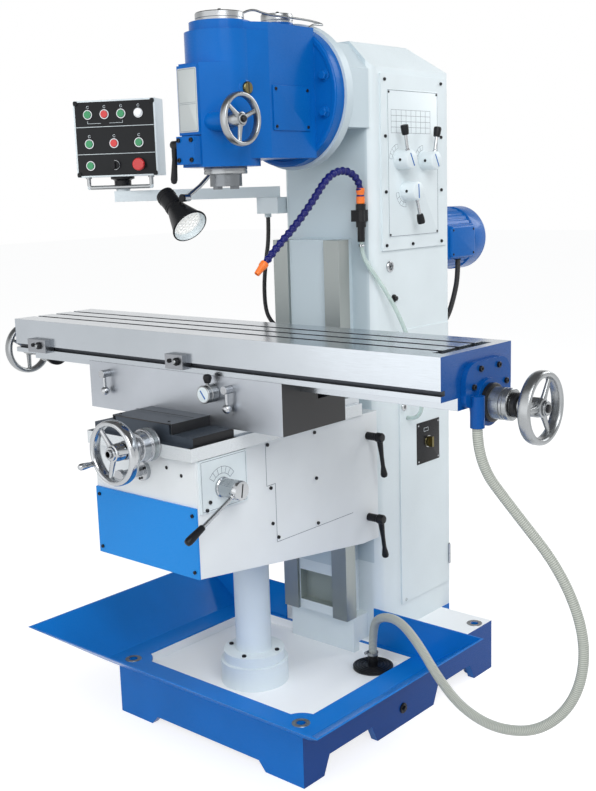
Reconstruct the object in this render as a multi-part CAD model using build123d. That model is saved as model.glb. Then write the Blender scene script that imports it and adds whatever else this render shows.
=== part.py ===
from build123d import *
import math
import os

# Knee mill with a swivelling vertical head, a table that travels on a saddle and a knee, and a pendant.
# Millimetres, +Z up, X along the table, -Y to the operator. The origin is the centre of the anchor bolts.

# Running fits and sheet sizes
FIT = 0.05
GAP = 0.3
SHEET = 4.0
PLATE = 6.0

# Base casting
BASE_HALF = 377.0
BASE_FRONT = -471.0
BASE_REAR = 495.0
BASE_TOP = 166.0
BASE_WALL = 24.0
ANCHOR_X = BASE_HALF - 32.0
ANCHOR_Y = 440.0
ANCHOR_R = 13.0
ANCHOR_BOSS_R = 36.0
RECESS_HALF = BASE_HALF - 39.0
RECESS_FRONT = -418.0
RECESS_REAR = 96.0
RECESS_DEPTH = 30.0
RECESS_FLOOR = 28.0
FRONT_ARCH_HALF = BASE_HALF - 167.0
FRONT_ARCH_H = 28.0
SIDE_ARCH_H = 55.0
SIDE_ARCH_FRONT = (-360.0, -165.0)
SIDE_ARCH_REAR = (176.0, 362.0)
ARCH_SLANT = 26.0
PLUG_Y = -12.0
PLUG_Z = 54.0
PLUG_R = 14.0

# Coolant tray
TRAY_CREASE_X = BASE_HALF + 40.0
TRAY_CREASE_FRONT = -494.0
TRAY_TIP_X = BASE_HALF + 208.0
TRAY_TIP_FRONT = -653.0
TRAY_BACK = 107.0
TRAY_H = 121.0
TRAY_GAP_HALF = 185.0

# Column
COLUMN_HALF = 178.0
COLUMN_FRONT = 144.0
COLUMN_REAR = 545.0
COLUMN_TOP = 2018.0
COLUMN_SIDE_TOP = COLUMN_TOP - 77.0
RIDGE_HALF = 101.0
RIDGE_REAR = 432.0
COLUMN_WALL = 22.0
COLUMN_ROUND = 30.0
WAY_HALF = 130.0
WAY_INNER = 72.0
WAY_NECK = 95.0
WAY_FRONT = 37.0
WAY_FLANGE = 48.0
WAY_RELIEF = 10.0
WAY_BOTTOM = 250.0
WAY_TOP = COLUMN_TOP - 576.0
POCKET_HALF = 67.0
POCKET_Z = (282.0, 383.0)
POCKET_DEPTH = 30.0
PLINTH_FRONT = 70.0
DOOR_Y = (262.0, 541.0)
DOOR_Z = (250.0, 1150.0)
COVER_Y = (185.0, 528.0)
COVER_Z = (COLUMN_TOP - 616.0, COLUMN_TOP - 95.0)
OPENING_RIM = 22.0

# Speed levers and main switch on the right side of the column: place (y, z) and direction of the lever
LEVER_FRONT = (270.0, COVER_Z[0] + 270.0)
LEVER_REAR = (402.0, COVER_Z[0] + 267.0)
LEVER_LOW = (302.0, COVER_Z[0] + 176.0)
LEVER_HUB_R = 28.0
LEVER_HUB_L = 52.0
LEVER_PIN_R = 12.0
LEVER_ARM = 92.0
LEVER_ROD_R = 5.0
LEVER_BALL_R = 12.5
SWITCH_PLACE = (417.5, 768.0)
SWITCH_R = 17.0
SWITCH_L = 20.0
SWITCH_PIN_R = 5.0

# Motor
MOTOR_Z = COVER_Z[0] + 5.0
MOTOR_R = 104.0
MOTOR_END = 905.0
MOTOR_SPIGOT_R = 60.0
MOTOR_FLANGE = 15.0
BOX_X = 142.0
BOX_Y = (620.0, 780.0)
BOX_Z = (MOTOR_Z - 62.0, MOTOR_Z + 53.0)

# Knee
KNEE_HALF = 200.0
KNEE_FRONT = -648.0
KNEE_WALL = 20.0
KNEE_BOTTOM_FRONT = 610.0
KNEE_BOTTOM_REAR = 522.0
FLANGE_HALF = 206.0
FLANGE_FRONT = -667.0
FLANGE_BOTTOM = 925.0
KNEE_TOP = 961.0
SLAB_HALF = 195.0
SLAB_H = 22.0
TONGUE_HALF = 105.0
TONGUE_H = 25.0
SLAB_FRONT = -647.0
EAR_REAR = 116.0
COVER_TOP = 800.0
FEED_PLATE_Y = (-640.0, -467.0)
FEED_PLATE_Z = (782.0, 923.0)
FEED_PLACE = (-562.0, 840.0)
FEED_HUB_R = 26.0
FEED_HUB_L = 72.0
FEED_ARM = 212.0
FEED_ANGLE = 26.0
CLAMP_Y = 68.0
CLAMP_Z = (855.0, 600.0)
CLAMP_HUB_R = 13.0
CLAMP_HUB_L = 58.0
CLAMP_ARM = 120.0
CLAMP_LEAN = 10.0
CLAMP_BALL_R = 11.0
PIN_R = 9.0
PIN_L = 30.0

# Lifting screw, its post and its cross shaft
LIFT_Y = -254.0
LIFT_R = 18.0
LIFT_LOW = 330.0
POST_R = 53.5
POST_WALL = 9.5
POST_TOP = 520.0
POST_NUT_H = 60.0
PEDESTAL_R = 102.0
PEDESTAL_TOP = 205.0
PEDESTAL_FLANGE_R = 92.0
PEDESTAL_FLANGE_TOP = 235.0
BEVEL_GEAR_R = 46.0
BEVEL_GEAR_Z = 826.0
BEVEL_GEAR_H = 20.0
LIFT_JOURNAL_R = 20.0
SHAFT_Z = 874.0
SHAFT_R = 13.0
SHAFT_FRONT = -735.0
SHAFT_FLANGE_R = 27.0
PINION_R = 26.0
PINION_L = 24.0

# Cross feed screw and its handwheel
CROSS_X = 52.0
CROSS_Z = 955.0
CROSS_R = 11.0
CROSS_CHANNEL = 22.0
CROSS_FLOOR = 933.0
CROSS_REAR = 20.0
CROSS_DIAL_R = 44.0
CROSS_DIAL_L = 16.0
CROSS_WHEEL_Y = -786.0
NUT_CLEAR = 0.3

# Handwheels
WHEEL_R = 77.0
WHEEL_RIM_R = 8.0
WHEEL_RIM_W = 15.0
WHEEL_HUB_R = 20.0
WHEEL_HUB_L = 44.0
WHEEL_SPOKE_R = 7.0
WHEEL_SPOKES = 3
RIM_SIDES = 12
HANDLE_R = 9.0
HANDLE_STEM_R = 5.0
HANDLE_TURN = 75.0
HANDLE_L = 62.0

# Saddle
SADDLE_HALF = 378.0
SADDLE_FRONT = -509.0
SADDLE_REAR = -258.0
SADDLE_TOP = 1120.0
GROOVE_Y = (-440.0, -273.0)
GROOVE_DEPTH = 30.0
SCREW_SLOT_HALF = 34.0
SCREW_SLOT_DEPTH = 60.0
COVER_HALF = 117.0
WAY_COVER_FRONT = -647.0
WAY_COVER_SHEET = 3.0
SADDLE_CLAMP_X = (-292.0, 200.0)
SADDLE_CLAMP_Z = 1090.0
SADDLE_CLAMP_HUB_R = 11.0
SADDLE_CLAMP_HUB_L = 28.0
SADDLE_CLAMP_ARM = 50.0
FEED_DIAL_X = 135.0
FEED_DIAL_Z = 1074.0
FEED_DIAL_R = 24.0
FEED_DIAL_L = 40.0
FEED_DIAL_ARM = 40.0

# Table
TABLE_X = (-737.0, 850.0)
TABLE_FRONT = -508.0
TABLE_REAR = -205.0
TABLE_H = 103.0
SLOT_PITCH = 70.0
SLOT_W = 16.0
SLOT_DEPTH = 34.0
SLOT_FOOT_W = 28.0
SLOT_FOOT_H = 13.0
SLOT_STOP = 55.0
DOG_GROOVE_Z = 14.0
DOG_GROOVE_H = 12.0
DOG_GROOVE_DEPTH = 16.0
TROUGH_DEPTH = 16.0
TROUGH_W = 30.0
SCREW_Y = -336.0
SCREW_Z = 1097.0
SCREW_R = 16.0
SCREW_NUT_HALF = 45.0
WHEEL_OUT_RIGHT = 153.0
WHEEL_OUT_LEFT = 185.0
BRACKET_T = 14.0
BRACKET_BOSS_R = 56.0
BRACKET_BOSS_T = 22.0
LEFT_BOSS_R = 26.0
BRACKET_FRONT = 92.0
BRACKET_REAR = 106.0
BRACKET_SKIRT = 40.0
BRACKET_ROUND = 45.0
BRACKET_FOOT_ROUND = 18.0
BRACKET_DROP = 27.0
LEFT_BRACKET_DROP = 37.0
TABLE_DIAL_R = 37.0
TABLE_DIAL_L = 90.0
DOG_X = ((-652.0, -565.0), (-30.0, 38.0))
DOG_T = 18.0
DOG_H = 40.0

# Head
SWIVEL_Z = COLUMN_TOP - 161.0
SWIVEL_R = 198.0
SWIVEL_BACK = -4.0
SWIVEL_FRONT = -38.0
RING_R = 207.0
RING_T = 30.0
NECK_HALF = 168.0
NECK_BOTTOM = COLUMN_TOP - 252.0
NECK_STEP = 8.0
SPINDLE_Y = -291.0
HEAD_HALF = 118.0
HEAD_SIDE_Y = -228.0
HEAD_NOSE_HALF = 38.0
HEAD_NOSE_Y = -415.0
HEAD_BOTTOM = SWIVEL_Z - 196.0
HEAD_TOP = SWIVEL_Z + 160.0
HEAD_H = HEAD_TOP - HEAD_BOTTOM
HEAD_LEDGE = HEAD_BOTTOM + 0.758 * HEAD_H
HEAD_BARREL_R = 98.0
HEAD_REAR_LIFT = 20.0
COLLAR_TOP_R = 84.0
COLLAR_TOP_H = 26.0
HEAD_DECK_H = 21.0
REAR_COLLAR_H = 43.0
PLATE_BOSS_Y = -423.0
PLATE_BOSS_Z = (HEAD_BOTTOM + 0.236 * HEAD_H, HEAD_BOTTOM + 0.742 * HEAD_H)
CLAMP_BLOCK_HALF = 34.0
CLAMP_BLOCK_Y = -440.0
CLAMP_BLOCK_Z = (HEAD_BOTTOM + 0.02 * HEAD_H, HEAD_BOTTOM + 0.228 * HEAD_H)
HEAD_CAVITY_HALF = 90.0
HEAD_CAVITY_Y = (-205.0, SWIVEL_BACK - 20.0)
HEAD_CAVITY_Z = (HEAD_BOTTOM + 0.13 * HEAD_H, HEAD_BOTTOM + 0.94 * HEAD_H)
DRIVE_R = 22.0
DRIVE_BORE = 34.0
CAP_R = 64.0
CAP_H = 25.0
REAR_CAP_Y = -58.0
REAR_CAP_R = 46.0
REAR_CAP_H = 28.0
QUILL_R = 55.0
QUILL_TOP = HEAD_BOTTOM + 0.67 * HEAD_H
QUILL_STROKE = 85.0
COLLAR_R = 59.0
COLLAR_H = 19.0
SPINDLE_R = 36.0
NOSE_R = 44.44
NOSE_H = 33.0
TAPER_R = 22.225
TAPER_L = 92.0
KEY_W = 15.9
KEY_H = 8.0
SPLINE_R = 18.0
SPLINE_TOP = HEAD_TOP - 9.0
FINE_Y = -382.0
FINE_Z = HEAD_BOTTOM + 0.3315 * HEAD_H
FINE_BOSS_R = 26.0
FINE_BOSS_X = 112.0
FINE_WHEEL_X = 152.0
FINE_WHEEL_R = 63.0
FINE_RIM_R = 6.5
FINE_RIM_W = 11.0
FINE_HUB_OUT = 10.0
FINE_SHAFT_R = 10.0
LOCK_Y = -427.0
LOCK_Z = HEAD_BOTTOM + 0.1713 * HEAD_H
LOCK_HUB_R = 11.0
LOCK_HUB_L = 30.0
LOCK_ARM = 96.0

# Work lamp under the head
LAMP_MOUNT = (-104.0, -205.0, HEAD_BOTTOM + HEAD_REAR_LIFT)
LAMP_ELBOW = (-128.0, -268.0, HEAD_BOTTOM - 49.0)
LAMP_PIVOT = (-136.0, -318.0, HEAD_BOTTOM - 81.0)
LAMP_ROD_R = 6.0
LAMP_BALL_R = 11.0
LAMP_MOUTH = (-112.0, -330.0, HEAD_BOTTOM - 161.0)
LAMP_TAIL = (-224.0, -318.0, HEAD_BOTTOM - 71.0)
LAMP_MOUTH_R = 53.0
LAMP_NECK_R = 27.0
LAMP_WALL = 3.0

# Pendant
PIVOT_X = -235.0
PIVOT_Y = 150.0
BRACKET_Z = (1520.0, 1571.0)
BRACKET_X = -268.0
BRACKET_Y = (118.0, 182.0)
ARM_ANGLE = 220.0
ARM_REACH = 474.0
ARM_L = ARM_REACH + 26.0
ARM_W = 42.0
ARM_H = 34.0
ARM_WALL = 4.0
ARM_TAIL = 30.0
PIVOT_R = 13.0
STATION_W = 270.0
STATION_H = 237.0
STATION_D = 80.0
STATION_Z = 1651.0
STATION_YAW = 29.5
STATION_FRONT = 45.0
STATION_WALL = 4.0
STATION_NECK_R = 22.0
STATION_DISC_R = 37.0
STATION_DISC_H = 6.0
GRIP_DROP = 33.0
GRIP_HALF = 105.0
GRIP_R = 6.0
GRIP_FORWARD = 20.0
BUTTON_R = 11.0
BUTTON_OUT = 9.0
BUTTON_IN = 14.0
BEZEL_R = 15.0
BEZEL_H = 4.0
STOP_HEAD_R = 19.5
STOP_HEAD_H = 14.0
STOP_OUT = 24.0
SELECTOR_OUT = 16.0
LAMP_LENS_R = 11.0
COLUMN_U = (0.18, 0.385, 0.485, 0.59, 0.79, 0.80)
ROW_V = (0.185, 0.565, 0.85)

# Coolant valve on the front of the column, and drain in the tray
VALVE_X = 150.0
VALVE_Y = 122.0
VALVE_BLOCK = (20.0, 22.0, 17.0)
VALVE_Z = 1511.0
VALVE_R = 11.0
VALVE_TOP = 1562.0
VALVE_LOW = 1434.0
DRAIN_X = BASE_HALF - 134.0
DRAIN_Y = 19.0
DRAIN_R = 62.0
DRAIN_H = 8.0
DRAIN_STUB_R = 16.0
DRAIN_STUB_H = 32.0

# Hoses and cords: radius and route points
HOSE_R = 13.0
HOSE_BORE = 9.5
HOSE_RIBS = 110
HOSE_RIB_H = 1.6
RIBS_PER_PIECE = 10
HOSE_START = (872.0, -392.0, 1046.0)
HOSE_POINTS = (
    (872.0, -392.0, 965.0), (935.0, -340.0, 850.0), (1040.0, -295.0, 705.0), (1098.0, -280.0, 545.0),
    (1082.0, -290.0, 400.0), (1000.0, -308.0, 300.0), (880.0, -308.0, 265.0), (760.0, -280.0, 272.0),
    (650.0, -225.0, 303.0), (540.0, -165.0, 358.0), (430.0, -98.0, 374.0), (320.0, -36.0, 340.0),
    (DRAIN_X, DRAIN_Y, 272.0),
)
LINE_R = 12.0
LINE_BORE = 5.0
LINE_LINKS = 24
LINE_RIB_H = 3.0
LINE_POINTS = (
    (VALVE_X, VALVE_Y, 1597.0), (148.0, 102.0, 1627.0), (144.0, 62.0, 1645.0), (140.0, 14.0, 1640.0),
    (135.0, -28.0, 1613.0), (131.0, -82.0, 1554.0), (114.0, -143.0, 1487.0), (97.0, -200.0, 1435.0),
    (84.0, -250.0, 1382.0),
)
NOZZLE_R = 8.0
NOZZLE_L = 26.0
TUBE_R = 6.5
TUBE_BORE = 4.5
TUBE_POINTS = (
    (VALVE_X, VALVE_Y, 1394.0), (184.0, 138.0, 1338.0), (214.0, 178.0, 1260.0), (232.0, 222.0, 1170.0),
    (238.0, 258.0, 1080.0), (240.0, 286.0, 985.0), (242.0, 300.0, 918.0), (232.0, 303.0, 884.0),
    (207.0, 303.0, 866.0),
)
TUBE_HOLE = (303.0, 866.0)
CONDUIT_R = 7.0
CONDUIT_GLAND = (-250.0, 150.0)
CONDUIT_POINTS = (
    (-250.0, 150.0, 1442.0), (-266.0, 150.0, 1370.0), (-281.0, 152.0, 1285.0), (-281.0, 156.0, 1200.0),
    (-258.0, 162.0, 1161.0), (-219.0, 168.0, 1138.0),
)
CONDUIT_HOLE = (168.0, 1138.0)
GLAND_R = 11.0
GLAND_L = 12.0
MOTOR_CORD_R = 9.0
MOTOR_CORD_START = (118.0, 700.0)
MOTOR_CORD_POINTS = (
    (118.0, 700.0, 1284.0), (116.0, 678.0, 1216.0), (110.0, 650.0, 1150.0), (106.0, 594.0, 1112.0),
)
MOTOR_CORD_HOLE = (106.0, 1112.0)


def block(x0, x1, y0, y1, z0, z1):
    """Box between two corners."""
    return Pos((x0 + x1) / 2, (y0 + y1) / 2, (z0 + z1) / 2) * Box(x1 - x0, y1 - y0, z1 - z0)


def rod(start, end, radius):
    """Straight round bar between two points."""
    axis = Vector(*end) - Vector(*start)
    plane = Plane(origin=Vector(*start), z_dir=axis)
    return plane * Cylinder(radius, axis.length, align=(Align.CENTER, Align.CENTER, Align.MIN))


def rod_x(x0, x1, y, z, radius):
    """Round bar along X."""
    return rod((x0, y, z), (x1, y, z), radius)


def rod_y(y0, y1, x, z, radius):
    """Round bar along Y."""
    return rod((x, y0, z), (x, y1, z), radius)


def rod_z(z0, z1, x, y, radius):
    """Round bar along Z."""
    return rod((x, y, z0), (x, y, z1), radius)


def ball(centre, radius):
    """Sphere at a point."""
    return Pos(*centre) * Sphere(radius)


def prism_x(points, x0, x1):
    """Outline of (y, z) points drawn along X."""
    face = Plane.YZ.offset(x0) * make_face(Polyline(*points, close=True))
    return extrude(face, amount=x1 - x0)


def prism_y(points, y0, y1):
    """Outline of (x, z) points drawn along Y."""
    face = Plane(origin=(0, y0, 0), x_dir=(1, 0, 0), z_dir=(0, -1, 0)) * make_face(Polyline(*points, close=True))
    return extrude(face, amount=y0 - y1)


def prism_z(points, z0, z1):
    """Outline of (x, y) points drawn along Z."""
    face = Plane.XY.offset(z0) * make_face(Polyline(*points, close=True))
    return extrude(face, amount=z1 - z0)


def arch(low, high, height):
    """Foot cut-out outline: wider at the floor, seen along its own axis."""
    return ((low - ARCH_SLANT, -1.0), (low, height), (high, height), (high + ARCH_SLANT, -1.0))


def anchors():
    """Places of the four anchor bolts."""
    return [(sx * ANCHOR_X, sy * ANCHOR_Y) for sx in (-1, 1) for sy in (-1, 1)]


def recess():
    """Space of the coolant recess in the base, rounded round the front anchor bosses."""
    space = block(-RECESS_HALF, RECESS_HALF, RECESS_FRONT, RECESS_REAR, BASE_TOP - RECESS_DEPTH, BASE_TOP + TRAY_H)
    for x, y in anchors():
        space -= rod_z(0, BASE_TOP + TRAY_H + 1, x, y, ANCHOR_BOSS_R + BASE_WALL)
    return space


def base_casting():
    """Hollow base on feet, with a recess that catches coolant."""
    inner = BASE_HALF - BASE_WALL
    hollow_top = BASE_TOP - RECESS_DEPTH - RECESS_FLOOR
    body = block(-BASE_HALF, BASE_HALF, BASE_FRONT, BASE_REAR, 0, BASE_TOP)
    body += block(-COLUMN_HALF, COLUMN_HALF, BASE_REAR - 1, COLUMN_REAR, 0, BASE_TOP)
    body -= block(-inner, inner, BASE_FRONT + BASE_WALL, BASE_REAR - BASE_WALL, -1, hollow_top)
    for x, y in anchors():
        boss = rod_z(0, BASE_TOP, x, y, ANCHOR_BOSS_R)
        body += boss & block(-BASE_HALF, BASE_HALF, BASE_FRONT, BASE_REAR, 0, BASE_TOP)
    body -= recess()
    body -= prism_y(arch(-FRONT_ARCH_HALF, FRONT_ARCH_HALF, FRONT_ARCH_H), BASE_FRONT - 1, COLUMN_REAR + 1)
    for low, high in (SIDE_ARCH_FRONT, SIDE_ARCH_REAR):
        body -= prism_x(arch(low, high, SIDE_ARCH_H), -BASE_HALF - 1, BASE_HALF + 1)
    for x, y in anchors():
        body -= rod_z(-1, BASE_TOP + 1, x, y, ANCHOR_R)
    body -= rod_z(0, BASE_TOP, 0, LIFT_Y, LIFT_R + BASE_WALL)
    body -= rod_x(BASE_HALF - BASE_WALL / 2, BASE_HALF + 1, PLUG_Y, PLUG_Z, PLUG_R)
    return body


def hopper(crease_x, crease_front, tip_x, tip_front, back, z0, z1):
    """Four-sided solid that widens upward on three sides."""
    low = Pos(0, (crease_front + back) / 2, z0) * Rectangle(2 * crease_x, back - crease_front)
    high = Pos(0, (tip_front + back) / 2, z1) * Rectangle(2 * tip_x, back - tip_front)
    return loft([low, high], ruled=True)


def coolant_tray():
    """Sheet-metal tray round the base: flat rim, flared front and sides, upright back."""
    top = BASE_TOP + TRAY_H
    side = SHEET * math.hypot(TRAY_TIP_X - TRAY_CREASE_X, TRAY_H) / TRAY_H
    front = SHEET * math.hypot(TRAY_CREASE_FRONT - TRAY_TIP_FRONT, TRAY_H) / TRAY_H
    rise = SHEET / TRAY_H
    outer = hopper(TRAY_CREASE_X, TRAY_CREASE_FRONT, TRAY_TIP_X, TRAY_TIP_FRONT, TRAY_BACK, BASE_TOP, top)
    inner = hopper(
        TRAY_CREASE_X + rise * (TRAY_TIP_X - TRAY_CREASE_X) - side,
        TRAY_CREASE_FRONT + rise * (TRAY_TIP_FRONT - TRAY_CREASE_FRONT) + front,
        TRAY_TIP_X - side, TRAY_TIP_FRONT + front, TRAY_BACK - SHEET, BASE_TOP + SHEET, top + 0.01,
    )
    tray = outer - inner
    tray -= recess()
    tray -= block(-TRAY_GAP_HALF, TRAY_GAP_HALF, RECESS_REAR - 1, TRAY_BACK + 1, BASE_TOP - 1, top + 1)
    for x, y in anchors():
        tray -= rod_z(0, top, x, y, ANCHOR_R)
    return tray


def column_casting():
    """Hollow column with a T-shaped vertical way, a swivel seat and two side openings."""
    outline = (
        (-COLUMN_HALF, BASE_TOP), (COLUMN_HALF, BASE_TOP), (COLUMN_HALF, COLUMN_SIDE_TOP),
        (RIDGE_HALF, COLUMN_TOP), (-RIDGE_HALF, COLUMN_TOP), (-COLUMN_HALF, COLUMN_SIDE_TOP),
    )
    body = prism_y(outline, COLUMN_FRONT, COLUMN_REAR)
    corners = body.edges().filter_by(Axis.Z).group_by(Axis.Y)[0]
    body = fillet(corners, COLUMN_ROUND)
    hip = ((RIDGE_REAR, COLUMN_TOP), (COLUMN_REAR, COLUMN_SIDE_TOP), (COLUMN_REAR, COLUMN_TOP + 1),
           (RIDGE_REAR, COLUMN_TOP + 1))
    body -= prism_x(hip, -COLUMN_HALF, COLUMN_HALF)
    inner = COLUMN_HALF - COLUMN_WALL
    body -= block(-inner, inner, COLUMN_FRONT + COLUMN_WALL, COLUMN_REAR - COLUMN_WALL,
                  BASE_TOP + COLUMN_WALL, COLUMN_SIDE_TOP - COLUMN_WALL)
    body += block(-WAY_HALF, WAY_HALF, WAY_FRONT, WAY_FRONT + WAY_FLANGE, WAY_BOTTOM, WAY_TOP)
    body += block(-WAY_NECK, WAY_NECK, WAY_FRONT, COLUMN_FRONT + 1, WAY_BOTTOM, WAY_TOP)
    body -= block(-WAY_INNER, WAY_INNER, WAY_FRONT - 1, WAY_FRONT + WAY_RELIEF, WAY_BOTTOM - 1, WAY_TOP + 1)
    body += block(-WAY_HALF, WAY_HALF, RECESS_REAR, COLUMN_FRONT + 1, BASE_TOP, WAY_BOTTOM)
    body += block(-WAY_HALF, WAY_HALF, PLINTH_FRONT, RECESS_REAR, BASE_TOP - RECESS_DEPTH, WAY_BOTTOM)
    body -= block(-POCKET_HALF, POCKET_HALF, WAY_FRONT - 1, WAY_FRONT + WAY_RELIEF + POCKET_DEPTH, *POCKET_Z)
    ring_front = SWIVEL_BACK + GAP
    body += rod_y(ring_front, ring_front + RING_T, 0, SWIVEL_Z, RING_R)
    neck = (
        (-NECK_HALF, NECK_BOTTOM), (NECK_HALF, NECK_BOTTOM), (NECK_HALF, COLUMN_SIDE_TOP - NECK_STEP),
        (RIDGE_HALF, COLUMN_TOP - NECK_STEP), (-RIDGE_HALF, COLUMN_TOP - NECK_STEP),
        (-NECK_HALF, COLUMN_SIDE_TOP - NECK_STEP),
    )
    body += prism_y(neck, ring_front + RING_T / 2, COLUMN_FRONT + COLUMN_WALL / 2)
    body -= rod_y(ring_front - 1, COLUMN_FRONT + COLUMN_WALL + 1, 0, SWIVEL_Z, DRIVE_R + FIT)
    for span_y, span_z in ((DOOR_Y, DOOR_Z), (COVER_Y, COVER_Z)):
        body -= block(inner - 1, COLUMN_HALF + 1, span_y[0] + OPENING_RIM, span_y[1] - OPENING_RIM * 1.5,
                      span_z[0] + OPENING_RIM, span_z[1] - OPENING_RIM)
    body -= rod_y(COLUMN_REAR - COLUMN_WALL - 1, COLUMN_REAR + 1, 0, MOTOR_Z, MOTOR_SPIGOT_R)
    body -= rod_y(COLUMN_REAR - COLUMN_WALL - 1, COLUMN_REAR + 1, *MOTOR_CORD_HOLE, MOTOR_CORD_R + GAP)
    body -= rod_x(-COLUMN_HALF - 1, -inner + 1, *CONDUIT_HOLE, CONDUIT_R + GAP)
    return body


def gearbox_cover():
    """Side plate over the gear train, bored for the three lever shafts."""
    plate = block(COLUMN_HALF, COLUMN_HALF + PLATE, *COVER_Y, *COVER_Z)
    for place in (LEVER_FRONT, LEVER_REAR, LEVER_LOW):
        plate -= rod_x(COLUMN_HALF - 1, COLUMN_HALF + PLATE + 1, *place, LEVER_PIN_R + FIT)
    return plate


def cabinet_door():
    """Sheet door of the electric cabinet, with holes for the switch and the coolant tube."""
    door = block(COLUMN_HALF, COLUMN_HALF + SHEET, *DOOR_Y, *DOOR_Z)
    door -= rod_x(COLUMN_HALF - 1, COLUMN_HALF + SHEET + 1, *SWITCH_PLACE, SWITCH_PIN_R + FIT)
    door -= rod_x(COLUMN_HALF - 1, COLUMN_HALF + SHEET + 1, *TUBE_HOLE, TUBE_R + GAP)
    return door


def speed_lever(place, angle):
    """Round hub with a ball lever; the angle is measured from +Y towards +Z."""
    y, z = place
    face = COLUMN_HALF + PLATE
    end = face + GAP + LEVER_HUB_L
    lever = rod_x(face + GAP, end, y, z, LEVER_HUB_R)
    lever += rod_x(COLUMN_HALF - COLUMN_WALL, face + GAP, y, z, LEVER_PIN_R)
    across = math.radians(angle)
    x = end - LEVER_HUB_R / 2
    tip = (x, y + LEVER_ARM * math.cos(across), z + LEVER_ARM * math.sin(across))
    lever += rod((x, y, z), tip, LEVER_ROD_R)
    lever += ball(tip, LEVER_BALL_R)
    return lever


def main_switch_knob():
    """Rotary main switch with a bar grip."""
    y, z = SWITCH_PLACE
    face = COLUMN_HALF + SHEET + GAP
    knob = rod_x(face, face + SWITCH_L / 2, y, z, SWITCH_R)
    knob += block(face, face + SWITCH_L, y - SWITCH_PIN_R, y + SWITCH_PIN_R, z - SWITCH_R, z + SWITCH_R)
    knob += rod_x(COLUMN_HALF - PIN_L, face, y, z, SWITCH_PIN_R)
    return knob


def drive_motor():
    """Flange motor with a fan cowl and a terminal box."""
    face = COLUMN_REAR
    body = rod_y(face, face + MOTOR_FLANGE, 0, MOTOR_Z, MOTOR_R + MOTOR_FLANGE)
    body += rod_y(face, MOTOR_END, 0, MOTOR_Z, MOTOR_R)
    body = fillet(body.edges().group_by(Axis.Y)[-1], MOTOR_R / 5)
    body += rod_y(face - COLUMN_WALL, face, 0, MOTOR_Z, MOTOR_SPIGOT_R - GAP)
    body += block(0, BOX_X, *BOX_Y, *BOX_Z)
    hollow = MOTOR_R - BASE_WALL
    body -= rod_y(face - COLUMN_WALL - 1, face + MOTOR_FLANGE, 0, MOTOR_Z, hollow / 2)
    body += rod(
        (*MOTOR_CORD_START, BOX_Z[0] - GLAND_L), (*MOTOR_CORD_START, BOX_Z[0]), MOTOR_CORD_R + SHEET)
    body -= rod(
        (*MOTOR_CORD_START, BOX_Z[0] - GLAND_L - 1), (*MOTOR_CORD_START, BOX_Z[0] + GLAND_L),
        MOTOR_CORD_R + GAP)
    return body


def elevating_pedestal():
    """Post that stands in the recess and holds the lifting nut in its top."""
    floor = BASE_TOP - RECESS_DEPTH
    post = rod_z(floor, PEDESTAL_TOP, 0, LIFT_Y, PEDESTAL_R)
    post += rod_z(PEDESTAL_TOP, PEDESTAL_FLANGE_TOP, 0, LIFT_Y, PEDESTAL_FLANGE_R)
    post += rod_z(PEDESTAL_FLANGE_TOP, POST_TOP, 0, LIFT_Y, POST_R)
    post -= rod_z(floor - 1, POST_TOP - POST_NUT_H, 0, LIFT_Y, POST_R - POST_WALL)
    post -= rod_z(floor, POST_TOP + 1, 0, LIFT_Y, LIFT_R + NUT_CLEAR)
    return post


def drain_cover():
    """Strainer disc in the recess with the stub that the drain hose fits on."""
    floor = BASE_TOP - RECESS_DEPTH
    disc = rod_z(floor, floor + DRAIN_H, DRAIN_X, DRAIN_Y, DRAIN_R)
    disc += rod_z(floor + DRAIN_H, floor + DRAIN_H + DRAIN_STUB_H, DRAIN_X, DRAIN_Y, DRAIN_STUB_R)
    disc -= rod_z(floor + DRAIN_H, floor + DRAIN_H + DRAIN_STUB_H + 1, DRAIN_X, DRAIN_Y, HOSE_BORE)
    return disc


def coolant_valve():
    """Valve body on the front of the column, with a clamp ear below."""
    width, depth, height = VALVE_BLOCK
    body = rod_z(VALVE_LOW, VALVE_TOP, VALVE_X, VALVE_Y, VALVE_R)
    body += block(VALVE_X - width, VALVE_X + width / 2, COLUMN_FRONT - depth * 2, COLUMN_FRONT,
                  VALVE_Z - height, VALVE_Z + height)
    body += rod_z(VALVE_Z + height, VALVE_Z + 2 * height, VALVE_X, VALVE_Y, VALVE_R + SHEET)
    body += rod_z(VALVE_Z - 2 * height, VALVE_Z - height, VALVE_X, VALVE_Y, VALVE_R + SHEET)
    body -= rod_z(VALVE_LOW - 1, VALVE_TOP + 1, VALVE_X, VALVE_Y, LINE_BORE)
    return body


def pendant_bracket():
    """Bracket on the left of the column, bored for the arm's pivot, with the conduit gland below."""
    body = block(BRACKET_X, -COLUMN_HALF, *BRACKET_Y, *BRACKET_Z)
    body += rod_z(BRACKET_Z[0] - GLAND_L, BRACKET_Z[0], *CONDUIT_GLAND, GLAND_R)
    body -= rod_z(BRACKET_Z[0] + GLAND_L, BRACKET_Z[1] + 1, PIVOT_X, PIVOT_Y, PIVOT_R + FIT)
    return body


def drive_shaft():
    """Shaft on the swivel axis that carries the drive into the head, with its gears."""
    shaft = rod_y(HEAD_CAVITY_Y[0] + BASE_WALL, COLUMN_REAR - COLUMN_WALL * 3, 0, SWIVEL_Z, DRIVE_R)
    shaft += rod_y(HEAD_CAVITY_Y[0] + BASE_WALL, HEAD_CAVITY_Y[1] - 2 * BASE_WALL, 0, SWIVEL_Z, 2 * DRIVE_R)
    shaft += rod_y(COLUMN_REAR - COLUMN_WALL * 5, COLUMN_REAR - COLUMN_WALL * 4, 0, SWIVEL_Z, 2.4 * DRIVE_R)
    return shaft


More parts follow.
